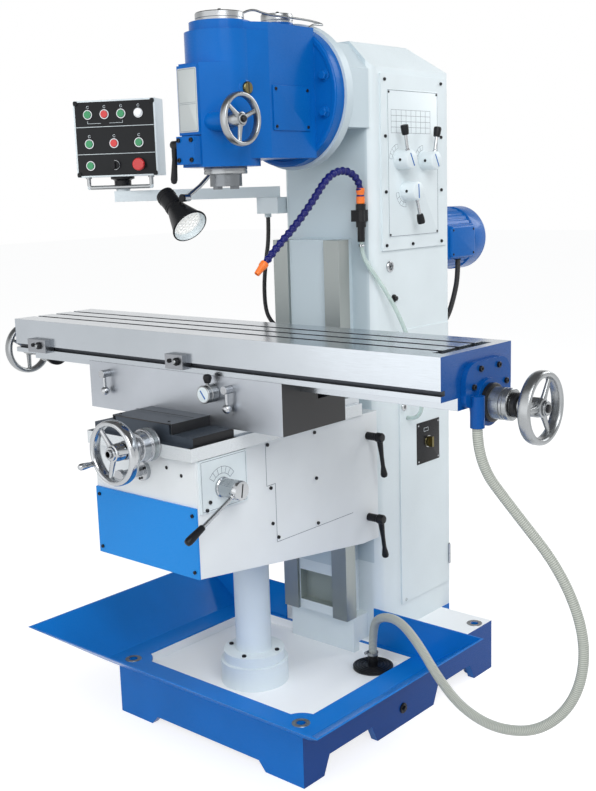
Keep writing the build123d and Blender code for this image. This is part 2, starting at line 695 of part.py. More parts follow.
def arm_point(reach, height):
    """Point on the pendant arm's centre line."""
    angle = math.radians(ARM_ANGLE)
    return (PIVOT_X + reach * math.cos(angle), PIVOT_Y + reach * math.sin(angle), height)


def arm_bottom():
    """Height of the pendant arm's underside."""
    return BRACKET_Z[1] + GAP


def pendant_arm():
    """Square tube that turns on the bracket and carries the station."""
    low = arm_bottom()
    place = Pos(PIVOT_X, PIVOT_Y, low) * Rot(0, 0, ARM_ANGLE)
    middle = (ARM_L - ARM_TAIL) / 2
    length = ARM_L + ARM_TAIL
    align = (Align.CENTER, Align.CENTER, Align.MIN)
    arm = place * Pos(middle, 0, 0) * Box(length, ARM_W, ARM_H, align=align)
    hollow = (ARM_TAIL + 2 * PIVOT_R, ARM_REACH - 2 * PIVOT_R)
    arm -= place * Pos(sum(hollow) / 2, 0, ARM_WALL) * Box(
        hollow[1] - hollow[0], ARM_W - 2 * ARM_WALL, ARM_H - 2 * ARM_WALL, align=align)
    arm += rod_z(BRACKET_Z[0] + GLAND_L + 1, low, PIVOT_X, PIVOT_Y, PIVOT_R)
    x, y, _ = arm_point(ARM_REACH, 0)
    arm -= rod_z(low + ARM_WALL, low + ARM_H + 1, x, y, PIVOT_R + FIT)
    return arm


def station_plane():
    """Plane on the station's face: x to the right, y up, z out, with its origin at the lower left corner."""
    yaw = math.radians(STATION_YAW)
    out = Vector(math.sin(yaw), -math.cos(yaw), 0)
    right = Vector(math.cos(yaw), math.sin(yaw), 0)
    x, y, _ = arm_point(ARM_REACH, 0)
    corner = Vector(x, y, STATION_Z) + out * STATION_FRONT - right * (STATION_W / 2)
    return Plane(origin=corner, x_dir=right, z_dir=out)


def station_point(u, v):
    """Place on the face, from shares of its width and of its height below the top."""
    return Pos(u * STATION_W, (1 - v) * STATION_H, 0)


def button_places():
    """Places of the seven push buttons on the station's face."""
    left, near, _, far, right, _ = COLUMN_U
    top, middle, low = ROW_V
    return [(left, top), (near, top), (far, top), (left, middle), (COLUMN_U[2], middle), (right, middle),
            (left, low)]


def face_rod(place, z0, z1, radius):
    """Round bar square to the station's face, between two heights above it."""
    bar = Cylinder(radius, z1 - z0, align=(Align.CENTER, Align.CENTER, Align.MIN))
    return station_plane() * station_point(*place) * Pos(0, 0, z0) * bar


def pendant_box():
    """Control box with its bezels, signal lamp, swivel foot and grab bar."""
    face = station_plane()
    box = face * Pos(STATION_W / 2, STATION_H / 2, -STATION_D / 2) * Box(STATION_W, STATION_H, STATION_D)
    box -= face * Pos(STATION_W / 2, STATION_H / 2, -STATION_D / 2) * Box(
        STATION_W - 2 * STATION_WALL, STATION_H - 2 * STATION_WALL, STATION_D - 2 * STATION_WALL)
    for place in button_places():
        box += face_rod(place, 0, BEZEL_H, BEZEL_R)
    selector, stop, lens = control_places()
    box += face_rod(lens, 0, BEZEL_H, BEZEL_R)
    box += face_rod(lens, 0, BUTTON_OUT, LAMP_LENS_R)
    box += face_rod(selector, 0, BEZEL_H, BEZEL_R)
    box += face_rod(stop, 0, BEZEL_H, BEZEL_R)
    for place in (*button_places(), selector, stop):
        box -= face_rod(place, -STATION_WALL - 1, BEZEL_H + 1, BUTTON_R + FIT)
    x, y, _ = arm_point(ARM_REACH, 0)
    low = arm_bottom()
    box += rod_z(low + ARM_H + GAP, STATION_Z, x, y, STATION_NECK_R)
    box += rod_z(STATION_Z - STATION_DISC_H, STATION_Z, x, y, STATION_DISC_R)
    box += rod_z(low + ARM_WALL + GAP, STATION_Z, x, y, PIVOT_R)
    ends = []
    for side in (-1, 1):
        foot = face * Pos(STATION_W / 2 + side * GRIP_HALF, 0, -GRIP_FORWARD)
        end = face * Pos(STATION_W / 2 + side * GRIP_HALF, -GRIP_DROP, -GRIP_FORWARD)
        box += rod(tuple(end.position), tuple(foot.position), GRIP_R)
        box += ball(tuple(end.position), GRIP_R)
        ends.append(tuple(end.position))
    box += rod(ends[0], ends[1], GRIP_R)
    return box


def control_places():
    """Places of the selector, the stop button and the signal lamp."""
    return (COLUMN_U[2], ROW_V[2]), (COLUMN_U[4], ROW_V[2]), (COLUMN_U[5], ROW_V[0])


def push_button(place):
    """Plunger of one push button."""
    return face_rod(place, -BUTTON_IN, BUTTON_OUT, BUTTON_R)


def direction_selector():
    """Selector knob with a bar grip."""
    place = control_places()[0]
    knob = face_rod(place, -BUTTON_IN, BEZEL_H + GAP, BUTTON_R)
    knob += face_rod(place, BEZEL_H + GAP, SELECTOR_OUT / 2 + BEZEL_H, BEZEL_R - 1)
    grip = Box(BUTTON_R * 0.7, 2 * BUTTON_R, SELECTOR_OUT, align=(Align.CENTER, Align.CENTER, Align.MIN))
    knob += station_plane() * station_point(*place) * Pos(0, 0, BEZEL_H + GAP) * grip
    return knob


def stop_button():
    """Mushroom stop button."""
    place = control_places()[1]
    knob = face_rod(place, -BUTTON_IN, STOP_OUT, BUTTON_R)
    head = face_rod(place, STOP_OUT - STOP_HEAD_H, STOP_OUT, STOP_HEAD_R)
    head = fillet(head.edges().filter_by(GeomType.CIRCLE), STOP_HEAD_H / 3)
    return knob + head


def knee_bottom(y):
    """Height of the sloping underside of the knee."""
    share = (y - KNEE_FRONT) / (WAY_FRONT - KNEE_FRONT)
    return KNEE_BOTTOM_FRONT + share * (KNEE_BOTTOM_REAR - KNEE_BOTTOM_FRONT)


def knee_casting():
    """Hollow knee: vertical slide behind, saddle ways on top, screw channel and bearings."""
    back = WAY_FRONT - FIT
    outline = ((KNEE_FRONT, knee_bottom(KNEE_FRONT)), (back, knee_bottom(back)), (back, FLANGE_BOTTOM),
               (KNEE_FRONT, FLANGE_BOTTOM))
    body = prism_x(outline, -KNEE_HALF, KNEE_HALF)
    low, high = KNEE_FRONT + KNEE_WALL, back - KNEE_WALL
    roof = FLANGE_BOTTOM - KNEE_WALL
    hollow = ((low, knee_bottom(low) + KNEE_WALL), (high, knee_bottom(high) + KNEE_WALL), (high, roof), (low, roof))
    inner = KNEE_HALF - KNEE_WALL
    body -= prism_x(hollow, -inner, inner)
    body += block(-FLANGE_HALF, FLANGE_HALF, FLANGE_FRONT, back, FLANGE_BOTTOM, KNEE_TOP)
    slab_top = KNEE_TOP + SLAB_H
    body += block(-SLAB_HALF, SLAB_HALF, SLAB_FRONT, back, KNEE_TOP, slab_top)
    body += block(-TONGUE_HALF, TONGUE_HALF, SLAB_FRONT, back, slab_top, slab_top + TONGUE_H)
    keeper = WAY_FRONT + WAY_FLANGE + FIT
    for side in (-1, 1):
        outer = side * KNEE_HALF
        ear = side * (WAY_HALF + FIT)
        hook = side * (WAY_NECK + 1)
        body += block(min(outer, ear), max(outer, ear), back, EAR_REAR, KNEE_BOTTOM_REAR, FLANGE_BOTTOM)
        body += block(min(outer, hook), max(outer, hook), keeper, EAR_REAR, KNEE_BOTTOM_REAR, FLANGE_BOTTOM)
    front_end = FLANGE_FRONT + 2 * KNEE_WALL
    body -= block(CROSS_X - CROSS_CHANNEL, CROSS_X + CROSS_CHANNEL, front_end, back + 1, CROSS_FLOOR,
                  slab_top + TONGUE_H + 1)
    body -= rod_y(FLANGE_FRONT - 1, front_end + 1, CROSS_X, CROSS_Z, CROSS_R + FIT)
    body -= rod_y(KNEE_FRONT - 1, low + 1, 0, SHAFT_Z, SHAFT_R + FIT)
    body -= rod_z(roof - 1, FLANGE_BOTTOM + KNEE_WALL, 0, LIFT_Y, LIFT_JOURNAL_R + FIT)
    body -= rod_z(KNEE_BOTTOM_REAR, roof - KNEE_WALL, 0, LIFT_Y, POST_R + KNEE_WALL / 2)
    window = KNEE_HALF - 2 * KNEE_WALL
    body -= block(-window, window, KNEE_FRONT - 1, low + 1, KNEE_BOTTOM_FRONT + 2 * KNEE_WALL,
                  COVER_TOP - KNEE_WALL)
    for z in CLAMP_Z:
        body -= rod_x(KNEE_HALF - PIN_L - 1, KNEE_HALF + 1, CLAMP_Y, z, PIN_R + FIT)
    body -= rod_x(inner - 1, KNEE_HALF + 1, *FEED_PLACE, LEVER_PIN_R + FIT)
    return body


def knee_covers():
    """Front cover of the knee and the plate of the feed box on its right side."""
    front = block(-KNEE_HALF, KNEE_HALF, KNEE_FRONT - PLATE, KNEE_FRONT, KNEE_BOTTOM_FRONT, COVER_TOP)
    plate = block(KNEE_HALF, KNEE_HALF + PLATE, *FEED_PLATE_Y, *FEED_PLATE_Z)
    plate -= rod_x(KNEE_HALF - 1, KNEE_HALF + PLATE + 1, *FEED_PLACE, LEVER_PIN_R + FIT)
    return Compound(children=[front, plate])


def feed_lever():
    """Feed selector: hub, cap, rod and grip."""
    y, z = FEED_PLACE
    face = KNEE_HALF + PLATE + GAP
    end = face + FEED_HUB_L
    lever = rod_x(face, end, y, z, FEED_HUB_R)
    lever += rod_x(KNEE_HALF - KNEE_WALL, face, y, z, LEVER_PIN_R)
    angle = math.radians(FEED_ANGLE)
    x = end - FEED_HUB_R / 2

    def along(reach):
        return (x, y - reach * math.cos(angle), z - reach * math.sin(angle))

    grip = FEED_ARM * 0.7
    lever += rod((x, y, z), along(grip), LEVER_ROD_R + 1)
    lever += rod(along(grip), along(FEED_ARM), LEVER_BALL_R)
    return lever


def knee_clamp(z):
    """Clamp lever on the right of the knee."""
    face = KNEE_HALF + GAP
    end = face + CLAMP_HUB_L
    lean = math.radians(CLAMP_LEAN)
    x = end - CLAMP_HUB_R
    tip = (x, CLAMP_Y + CLAMP_ARM * math.sin(lean), z - CLAMP_ARM * math.cos(lean))
    lever = rod_x(face, end, CLAMP_Y, z, CLAMP_HUB_R)
    lever += rod_x(KNEE_HALF - PIN_L, face, CLAMP_Y, z, PIN_R)
    lever += rod((x, CLAMP_Y, z), tip, LEVER_ROD_R + 1)
    lever += ball(tip, CLAMP_BALL_R)
    return lever


def cross_screw():
    """Cross feed screw with its dial ring and the seat of the handwheel."""
    screw = rod_y(CROSS_WHEEL_Y - WHEEL_HUB_L / 2, CROSS_REAR, CROSS_X, CROSS_Z, CROSS_R)
    dial_back = FLANGE_FRONT - GAP
    screw += rod_y(dial_back - CROSS_DIAL_L, dial_back, CROSS_X, CROSS_Z, CROSS_DIAL_R)
    screw += rod_y(CROSS_WHEEL_Y + WHEEL_HUB_L / 2 + SHEET, dial_back, CROSS_X, CROSS_Z, WHEEL_HUB_R + SHEET)
    return screw


def rim(radius, rim_r, rim_w):
    """Rim of a handwheel round the Z axis: a many-sided oval section, turned."""
    turns = [2 * math.pi * i / RIM_SIDES for i in range(RIM_SIDES)]
    outline = [(radius + rim_r * math.cos(t), rim_w * math.sin(t)) for t in turns]
    return revolve(Plane.XZ * make_face(Polyline(*outline, close=True)), Axis.Z)


def handwheel(radius, rim_r, rim_w, hub_r, hub_low, hub_high, spoke_r, bore, handle_r, handle_l, angle):
    """Handwheel on the Z axis: rim, spokes, hub and a turned handle that points to +Z."""
    wheel = Rot(0, 0, angle + 180 / WHEEL_SPOKES) * rim(radius, rim_r, rim_w)
    wheel += rod_z(hub_low, hub_high, 0, 0, hub_r)
    for i in range(WHEEL_SPOKES):
        turn = math.radians(angle + 360 * i / WHEEL_SPOKES)
        wheel += rod((0, 0, 0), (radius * math.cos(turn), radius * math.sin(turn), 0), spoke_r)
    if handle_l > 0:
        turn = math.radians(angle + HANDLE_TURN)
        x, y = radius * math.cos(turn), radius * math.sin(turn)
        stem = rod((x, y, 0), (x, y, handle_l), HANDLE_STEM_R)
        wheel += stem + rod((x, y, rim_w + HANDLE_STEM_R), (x, y, handle_l), handle_r)
    wheel -= rod_z(hub_low - 1, hub_high + 1, 0, 0, bore)
    return wheel


def feed_handwheel(place, axis, angle, handle_l):
    """One of the three feed handwheels, its handle (if it has a length) along the given axis."""
    plane = Plane(origin=place, x_dir=(0, 0, 1), z_dir=axis)
    bore = CROSS_R if axis[1] else SCREW_R
    return plane * handwheel(WHEEL_R, WHEEL_RIM_R, WHEEL_RIM_W, WHEEL_HUB_R + bore / 3, -WHEEL_HUB_L / 2,
                             WHEEL_HUB_L / 2, WHEEL_SPOKE_R, bore, HANDLE_R, handle_l, angle)


def elevating_shaft():
    """Cross shaft of the lift, with a coupling end in front and a bevel pinion behind."""
    end = LIFT_Y - LIFT_JOURNAL_R - 2
    shaft = rod_y(SHAFT_FRONT, end, 0, SHAFT_Z, SHAFT_R)
    shaft += rod_y(KNEE_FRONT - GLAND_L - GAP, KNEE_FRONT - GAP, 0, SHAFT_Z, SHAFT_FLANGE_R)
    shaft += rod_y(SHAFT_FRONT, SHAFT_FRONT + GLAND_L, 0, SHAFT_Z, SHAFT_R + SHEET)
    pinion = Cone(PINION_R, PINION_R - GLAND_L / 2, PINION_L)
    shaft += Plane(origin=(0, end - PINION_L / 2, SHAFT_Z), z_dir=(0, 1, 0)) * pinion
    return shaft


def elevating_screw():
    """Lifting screw that hangs in the knee, with its bevel gear and top journal."""
    gear_top = BEVEL_GEAR_Z + BEVEL_GEAR_H
    screw = rod_z(LIFT_LOW, BEVEL_GEAR_Z, 0, LIFT_Y, LIFT_R)
    screw += rod_z(BEVEL_GEAR_Z, gear_top, 0, LIFT_Y, BEVEL_GEAR_R)
    screw += rod_z(gear_top, FLANGE_BOTTOM + GLAND_L, 0, LIFT_Y, LIFT_JOURNAL_R)
    return screw


def saddle_bottom():
    """Underside of the saddle, just above the knee's flat ways."""
    return KNEE_TOP + SLAB_H + FIT


def saddle_casting():
    """Saddle with the groove for the table above and the channel for the knee's tongue below."""
    low = saddle_bottom()
    body = block(-SADDLE_HALF, SADDLE_HALF, SADDLE_FRONT, SADDLE_REAR, low, SADDLE_TOP)
    roof = low + TONGUE_H
    side = TONGUE_HALF + FIT
    body -= block(-side, side, SADDLE_FRONT - 1, SADDLE_REAR + 1, low - 1, roof)
    body -= block(-SADDLE_HALF - 1, SADDLE_HALF + 1, *GROOVE_Y, SADDLE_TOP - GROOVE_DEPTH, SADDLE_TOP + 1)
    body -= block(-SADDLE_HALF - 1, SADDLE_HALF + 1, SCREW_Y - SCREW_SLOT_HALF, SCREW_Y + SCREW_SLOT_HALF,
                  SADDLE_TOP - SCREW_SLOT_DEPTH, SADDLE_TOP)
    nut_half = CROSS_CHANNEL - PLATE / 2
    nut_y = (SADDLE_FRONT + SADDLE_REAR) / 2
    nut = block(CROSS_X - nut_half, CROSS_X + nut_half, nut_y - nut_half, nut_y + nut_half,
                CROSS_Z - CROSS_R - PLATE, roof + 1)
    body += nut - rod_y(SADDLE_FRONT, SADDLE_REAR, CROSS_X, CROSS_Z, CROSS_R + NUT_CLEAR)
    for x in SADDLE_CLAMP_X:
        body -= rod_y(SADDLE_FRONT - 1, SADDLE_FRONT + PIN_L + 1, x, SADDLE_CLAMP_Z, PIN_R + FIT)
    body -= rod_y(SADDLE_FRONT - 1, SADDLE_FRONT + PIN_L + 1, FEED_DIAL_X, FEED_DIAL_Z, PIN_R + FIT)
    return body


def way_cover():
    """Sheet cover of the saddle ways that rides with the saddle, ahead of it."""
    top = saddle_bottom() + TONGUE_H + WAY_COVER_SHEET + FIT
    low = saddle_bottom() + FIT
    cover = block(-COVER_HALF, COVER_HALF, WAY_COVER_FRONT, SADDLE_FRONT, low, top)
    inner = COVER_HALF - WAY_COVER_SHEET
    cover -= block(-inner, inner, WAY_COVER_FRONT - 1, SADDLE_FRONT + 1, low - 1, top - WAY_COVER_SHEET)
    return cover


def table_nut():
    """Nut of the table screw, fixed in the saddle."""
    half = SCREW_SLOT_HALF - PLATE
    nut = block(-SCREW_NUT_HALF, SCREW_NUT_HALF, SCREW_Y - half, SCREW_Y + half,
                SADDLE_TOP - SCREW_SLOT_DEPTH, SCREW_Z + SCREW_R + SHEET)
    return nut - rod_x(-SCREW_NUT_HALF - 1, SCREW_NUT_HALF + 1, SCREW_Y, SCREW_Z, SCREW_R + NUT_CLEAR)


def saddle_clamp(x):
    """Small clamp lever on the front of the saddle."""
    face = SADDLE_FRONT - GAP
    end = face - SADDLE_CLAMP_HUB_L
    lever = rod_y(end, face, x, SADDLE_CLAMP_Z, SADDLE_CLAMP_HUB_R)
    lever += rod_y(face, SADDLE_FRONT + PIN_L, x, SADDLE_CLAMP_Z, PIN_R)
    y = end + SADDLE_CLAMP_HUB_R
    tip = (x, y, SADDLE_CLAMP_Z - SADDLE_CLAMP_ARM)
    lever += rod((x, y, SADDLE_CLAMP_Z), tip, LEVER_ROD_R)
    lever += ball(tip, LEVER_BALL_R)
    return lever


def table_feed_lever():
    """Feed lever on the front of the saddle: barrel with a ball lever that points up."""
    face = SADDLE_FRONT - GAP
    end = face - FEED_DIAL_L
    lever = rod_y(end, face, FEED_DIAL_X, FEED_DIAL_Z, FEED_DIAL_R)
    lever += rod_y(face, SADDLE_FRONT + PIN_L, FEED_DIAL_X, FEED_DIAL_Z, PIN_R)
    y = (end + face) / 2
    tip = (FEED_DIAL_X, y, FEED_DIAL_Z + FEED_DIAL_ARM)
    lever += rod((FEED_DIAL_X, y, FEED_DIAL_Z), tip, LEVER_ROD_R)
    lever += ball(tip, LEVER_BALL_R)
    return lever


def table_bottom():
    """Underside of the table, just above the saddle."""
    return SADDLE_TOP + FIT


def table_top():
    """Table with T-slots, end trough, front groove for the dogs and the guide below."""
    x0, x1 = TABLE_X
    low = table_bottom()
    top = low + TABLE_H
    body = block(x0, x1, TABLE_FRONT, TABLE_REAR, low, top)
    body += block(x0, x1, GROOVE_Y[0] + FIT, GROOVE_Y[1] - FIT, low - GROOVE_DEPTH + FIT, low)
    body -= block(x0 - 1, x1 + 1, SCREW_Y - SCREW_SLOT_HALF, SCREW_Y + SCREW_SLOT_HALF,
                  low - GROOVE_DEPTH - 1, low)
    middle = (TABLE_FRONT + TABLE_REAR) / 2
    for i in (-1, 0, 1):
        y = middle + i * SLOT_PITCH
        body -= block(x0 - 1, x1 - SLOT_STOP, y - SLOT_W / 2, y + SLOT_W / 2, top - SLOT_DEPTH, top + 1)
        body -= block(x0 - 1, x1 - SLOT_STOP, y - SLOT_FOOT_W / 2, y + SLOT_FOOT_W / 2, top - SLOT_DEPTH,
                      top - SLOT_DEPTH + SLOT_FOOT_H)
    body -= block(x1 - SLOT_STOP, x1 - SLOT_STOP + TROUGH_W, middle - 1.5 * SLOT_PITCH, middle + 1.5 * SLOT_PITCH,
                  top - TROUGH_DEPTH, top + 1)
    body -= block(x0 - 1, x1 + 1, TABLE_FRONT - 1, TABLE_FRONT + DOG_GROOVE_DEPTH, low + DOG_GROOVE_Z,
                  low + DOG_GROOVE_Z + DOG_GROOVE_H)
    return body


def bracket_plate(drop, x0):
    """Plate of a table end bracket from x0 on, with round corners, its top a given drop below the table's face."""
    low = table_bottom() + DOG_GROOVE_Z - BRACKET_SKIRT
    top = table_bottom() + TABLE_H - drop
    plate = block(x0, x0 + BRACKET_T, SCREW_Y - BRACKET_FRONT, SCREW_Y + BRACKET_REAR, low, top)
    plate = fillet(plate.edges().filter_by(Axis.X).group_by(Axis.Z)[-1], BRACKET_ROUND)
    return fillet(plate.edges().filter_by(Axis.X).group_by(Axis.Z)[0], BRACKET_FOOT_ROUND)


def end_brackets():
    """Bearing brackets on both ends of the table, the right one with the drain nipple."""
    x0, x1 = TABLE_X
    right = bracket_plate(BRACKET_DROP, x1)
    right += rod_x(x1, x1 + BRACKET_BOSS_T, SCREW_Y, SCREW_Z, BRACKET_BOSS_R)
    hx, hy, hz = HOSE_START
    right += rod_z(hz, table_bottom(), hx, hy, HOSE_R + SHEET)
    right -= rod_z(hz - 1, hz + HOSE_R, hx, hy, HOSE_BORE)
    left = bracket_plate(LEFT_BRACKET_DROP, x0 - BRACKET_T)
    left += rod_x(x0 - BRACKET_BOSS_T, x0, SCREW_Y, SCREW_Z, LEFT_BOSS_R)
    bore = rod_x(x0 - BRACKET_BOSS_T - 1, x1 + BRACKET_BOSS_T + 1, SCREW_Y, SCREW_Z, SCREW_R + FIT)
    return Compound(children=[right - bore, left - bore])


def wheel_places():
    """X places of the right and left table handwheels."""
    return TABLE_X[1] + WHEEL_OUT_RIGHT, TABLE_X[0] - WHEEL_OUT_LEFT


def table_screw():
    """Table feed screw with a dial and a coupling at each end."""
    right, left = wheel_places()
    half = WHEEL_HUB_L / 2
    screw = rod_x(left - half, right + half, SCREW_Y, SCREW_Z, SCREW_R)
    for end, wheel in ((TABLE_X[1] + BRACKET_BOSS_T + GAP, right), (TABLE_X[0] - BRACKET_BOSS_T - GAP, left)):
        out = 1 if wheel > end else -1
        screw += rod((end, SCREW_Y, SCREW_Z), (end + out * TABLE_DIAL_L, SCREW_Y, SCREW_Z), TABLE_DIAL_R)
        screw += rod((end, SCREW_Y, SCREW_Z), (wheel - out * (half + SHEET), SCREW_Y, SCREW_Z),
                     SCREW_R + PLATE)
    return screw


def table_handwheels():
    """Handwheels on both ends of the table screw."""
    right, left = wheel_places()
    return Compound(children=[
        feed_handwheel((right, SCREW_Y, SCREW_Z), (1, 0, 0), 90, 0),
        feed_handwheel((left, SCREW_Y, SCREW_Z), (-1, 0, 0), 60, 0),
    ])


def trip_dogs():
    """Two adjustable dogs clamped in the front groove of the table."""
    low = table_bottom() + DOG_GROOVE_Z
    dogs = []
    for x0, x1 in DOG_X:
        dog = block(x0, x1, TABLE_FRONT - DOG_T, TABLE_FRONT, low - DOG_GROOVE_H / 2, low - DOG_GROOVE_H / 2 + DOG_H)
        dog += block(x0, x1, TABLE_FRONT - 1, TABLE_FRONT + DOG_GROOVE_DEPTH - 2, low + FIT,
                     low + DOG_GROOVE_H - FIT)
        dogs.append(dog)
    return Compound(children=dogs)


def nose_plan():
    """Plan of the head's nose: a flat front whose sides run tangent into the barrel, as (x, y) points."""
    reach = SPINDLE_Y - HEAD_NOSE_Y
    turn = math.atan2(reach, HEAD_NOSE_HALF) - math.acos(HEAD_BARREL_R / math.hypot(reach, HEAD_NOSE_HALF))
    x, y = HEAD_BARREL_R * math.cos(turn), SPINDLE_Y - HEAD_BARREL_R * math.sin(turn)
    return ((-HEAD_NOSE_HALF, HEAD_NOSE_Y), (HEAD_NOSE_HALF, HEAD_NOSE_Y), (x, y), (0, SPINDLE_Y), (-x, y))


def head_casting():
    """Swivelling head: flange, gearbox body, barrel over the spindle, clamp block and wheel boss."""
    plan = ((-HEAD_HALF, SWIVEL_FRONT + 1), (-HEAD_HALF, HEAD_SIDE_Y), (-HEAD_BARREL_R, SPINDLE_Y),
            (HEAD_BARREL_R, SPINDLE_Y), (HEAD_HALF, HEAD_SIDE_Y), (HEAD_HALF, SWIVEL_FRONT + 1))
    body = prism_z(plan, HEAD_BOTTOM + HEAD_REAR_LIFT, HEAD_TOP)
    body += rod_z(HEAD_BOTTOM, HEAD_TOP, 0, SPINDLE_Y, HEAD_BARREL_R)
    deck = ((-HEAD_HALF, SWIVEL_FRONT + 1), (-HEAD_HALF, HEAD_SIDE_Y), (-COLLAR_TOP_R, SPINDLE_Y),
            (COLLAR_TOP_R, SPINDLE_Y), (HEAD_HALF, HEAD_SIDE_Y), (HEAD_HALF, SWIVEL_FRONT + 1))
    body += prism_z(deck, HEAD_TOP - 1, HEAD_TOP + HEAD_DECK_H)
    body += prism_z(nose_plan(), HEAD_BOTTOM, HEAD_LEDGE)
    body += rod_z(HEAD_TOP - 1, HEAD_TOP + COLLAR_TOP_H, 0, SPINDLE_Y, COLLAR_TOP_R)
    body += rod_z(HEAD_TOP - 1, HEAD_TOP + REAR_COLLAR_H, 0, REAR_CAP_Y, REAR_CAP_R)
    body += rod_y(SWIVEL_FRONT, SWIVEL_BACK, 0, SWIVEL_Z, SWIVEL_R)
    body += block(-HEAD_NOSE_HALF, HEAD_NOSE_HALF, PLATE_BOSS_Y, HEAD_NOSE_Y + 1, *PLATE_BOSS_Z)
    body += block(-CLAMP_BLOCK_HALF, CLAMP_BLOCK_HALF, CLAMP_BLOCK_Y, HEAD_NOSE_Y + 1, *CLAMP_BLOCK_Z)
    body += rod_x(0, FINE_BOSS_X, FINE_Y, FINE_Z, FINE_BOSS_R)
    side = HEAD_CAVITY_HALF
    body -= block(-side, side, *HEAD_CAVITY_Y, *HEAD_CAVITY_Z)
    body -= rod_y(HEAD_CAVITY_Y[1] - 1, SWIVEL_BACK + 1, 0, SWIVEL_Z, DRIVE_BORE)
    body -= rod_z(HEAD_BOTTOM - 1, QUILL_TOP + GAP, 0, SPINDLE_Y, QUILL_R + FIT)
    body -= rod_z(QUILL_TOP, HEAD_TOP + COLLAR_TOP_H + 1, 0, SPINDLE_Y, SPLINE_R + GAP)
    body -= rod_x(FINE_BOSS_X / 2, FINE_BOSS_X + 1, FINE_Y, FINE_Z, FINE_SHAFT_R + FIT)
    body -= rod_x(-CLAMP_BLOCK_HALF - 1, -CLAMP_BLOCK_HALF + PIN_L + 1, LOCK_Y, LOCK_Z, PIN_R + FIT)
    mount_x, mount_y, mount_z = LAMP_MOUNT
    body -= rod_z(mount_z - 1, mount_z + PIN_L, mount_x, mount_y, LAMP_ROD_R + FIT)
    return body


def head_caps():
    """Two round covers on top of the head: over the spindle and over the drive."""
    caps = []
    for y, radius, low, height in ((SPINDLE_Y, CAP_R, HEAD_TOP + COLLAR_TOP_H, CAP_H),
                                   (REAR_CAP_Y, REAR_CAP_R, HEAD_TOP + REAR_COLLAR_H, REAR_CAP_H)):
        cap = rod_z(low, low + height, 0, y, radius)
        caps.append(cap - rod_z(low - 1, low + height - PLATE, 0, y, radius - PLATE))
    return Compound(children=caps)


def quill_low():
    """Lower end of the quill's collar."""
    return HEAD_BOTTOM - GAP - COLLAR_H


def quill():
    """Quill sleeve that carries the spindle, with a collar at its lower end."""
    sleeve = rod_z(HEAD_BOTTOM - GAP, QUILL_TOP, 0, SPINDLE_Y, QUILL_R)
    sleeve += rod_z(quill_low(), HEAD_BOTTOM - GAP, 0, SPINDLE_Y, COLLAR_R)
    sleeve -= rod_z(quill_low() - 1, QUILL_TOP - GLAND_L, 0, SPINDLE_Y, SPINDLE_R + FIT)
    sleeve -= rod_z(quill_low(), QUILL_TOP + 1, 0, SPINDLE_Y, SPLINE_R + FIT)
    return sleeve


def spindle():
    """Spindle with a taper socket, two drive keys and a splined tail."""
    low = quill_low() - GAP
    nose = low - NOSE_H
    body = rod_z(nose, low, 0, SPINDLE_Y, NOSE_R)
    body += rod_z(low, QUILL_TOP - GLAND_L - GAP, 0, SPINDLE_Y, SPINDLE_R)
    body += rod_z(low, SPLINE_TOP, 0, SPINDLE_Y, SPLINE_R)
    socket = Cone(TAPER_R, TAPER_R - TAPER_L * 7 / 48, TAPER_L)
    body -= Pos(0, SPINDLE_Y, nose + TAPER_L / 2) * socket
    for side in (-1, 1):
        y = SPINDLE_Y + side * (NOSE_R + TAPER_R) / 2
        half = (NOSE_R - TAPER_R) / 2 - 1
        body += block(-KEY_W / 2, KEY_W / 2, y - half, y + half, nose - KEY_H, nose + 1)
    return body


def quill_handwheel():
    """Fine feed handwheel of the quill."""
    plane = Plane(origin=(FINE_WHEEL_X, FINE_Y, FINE_Z), x_dir=(0, 0, 1), z_dir=(1, 0, 0))
    inner = FINE_BOSS_X + GAP - FINE_WHEEL_X
    wheel = plane * handwheel(FINE_WHEEL_R, FINE_RIM_R, FINE_RIM_W, FINE_BOSS_R - PLATE, inner, FINE_HUB_OUT,
                              WHEEL_SPOKE_R - 1, FINE_SHAFT_R, HANDLE_R, 0, 52)
    wheel += rod_x(FINE_BOSS_X / 2, FINE_WHEEL_X + FINE_HUB_OUT, FINE_Y, FINE_Z, FINE_SHAFT_R)
    return wheel


def quill_clamp():
    """Clamp lever of the quill, on the left of the clamp block."""
    face = -CLAMP_BLOCK_HALF - GAP
    end = face - LOCK_HUB_L
    lever = rod_x(end, face, LOCK_Y, LOCK_Z, LOCK_HUB_R)
    lever += rod_x(face, -CLAMP_BLOCK_HALF + PIN_L, LOCK_Y, LOCK_Z, PIN_R)
    x = end + LOCK_HUB_R
    lever += rod((x, LOCK_Y, LOCK_Z), (x - LOCK_HUB_R, LOCK_Y, LOCK_Z - LOCK_ARM), LOCK_HUB_R * 0.75)
    return lever


def lamp_arm():
    """Bent rod of the work lamp, turning in the underside of the head."""
    x, y, z = LAMP_MOUNT
    arm = rod_z(z - PLATE, z + PIN_L - 1, x, y, LAMP_ROD_R)
    arm += rod_z(z - GAP - PLATE, z - GAP, x, y, LAMP_BALL_R + SHEET)
    arm += rod((x, y, z - PLATE), LAMP_ELBOW, LAMP_ROD_R)
    arm += ball(LAMP_ELBOW, LAMP_ROD_R)
    arm += rod(LAMP_ELBOW, LAMP_PIVOT, LAMP_ROD_R)
    px, py, pz = LAMP_PIVOT
    arm += rod_y(py - LAMP_BALL_R, py + LAMP_BALL_R, px, pz, LAMP_BALL_R)
    arm -= rod_y(py - LAMP_BALL_R - 1, py + LAMP_BALL_R + 1, px, pz, LAMP_ROD_R + FIT)
    return arm


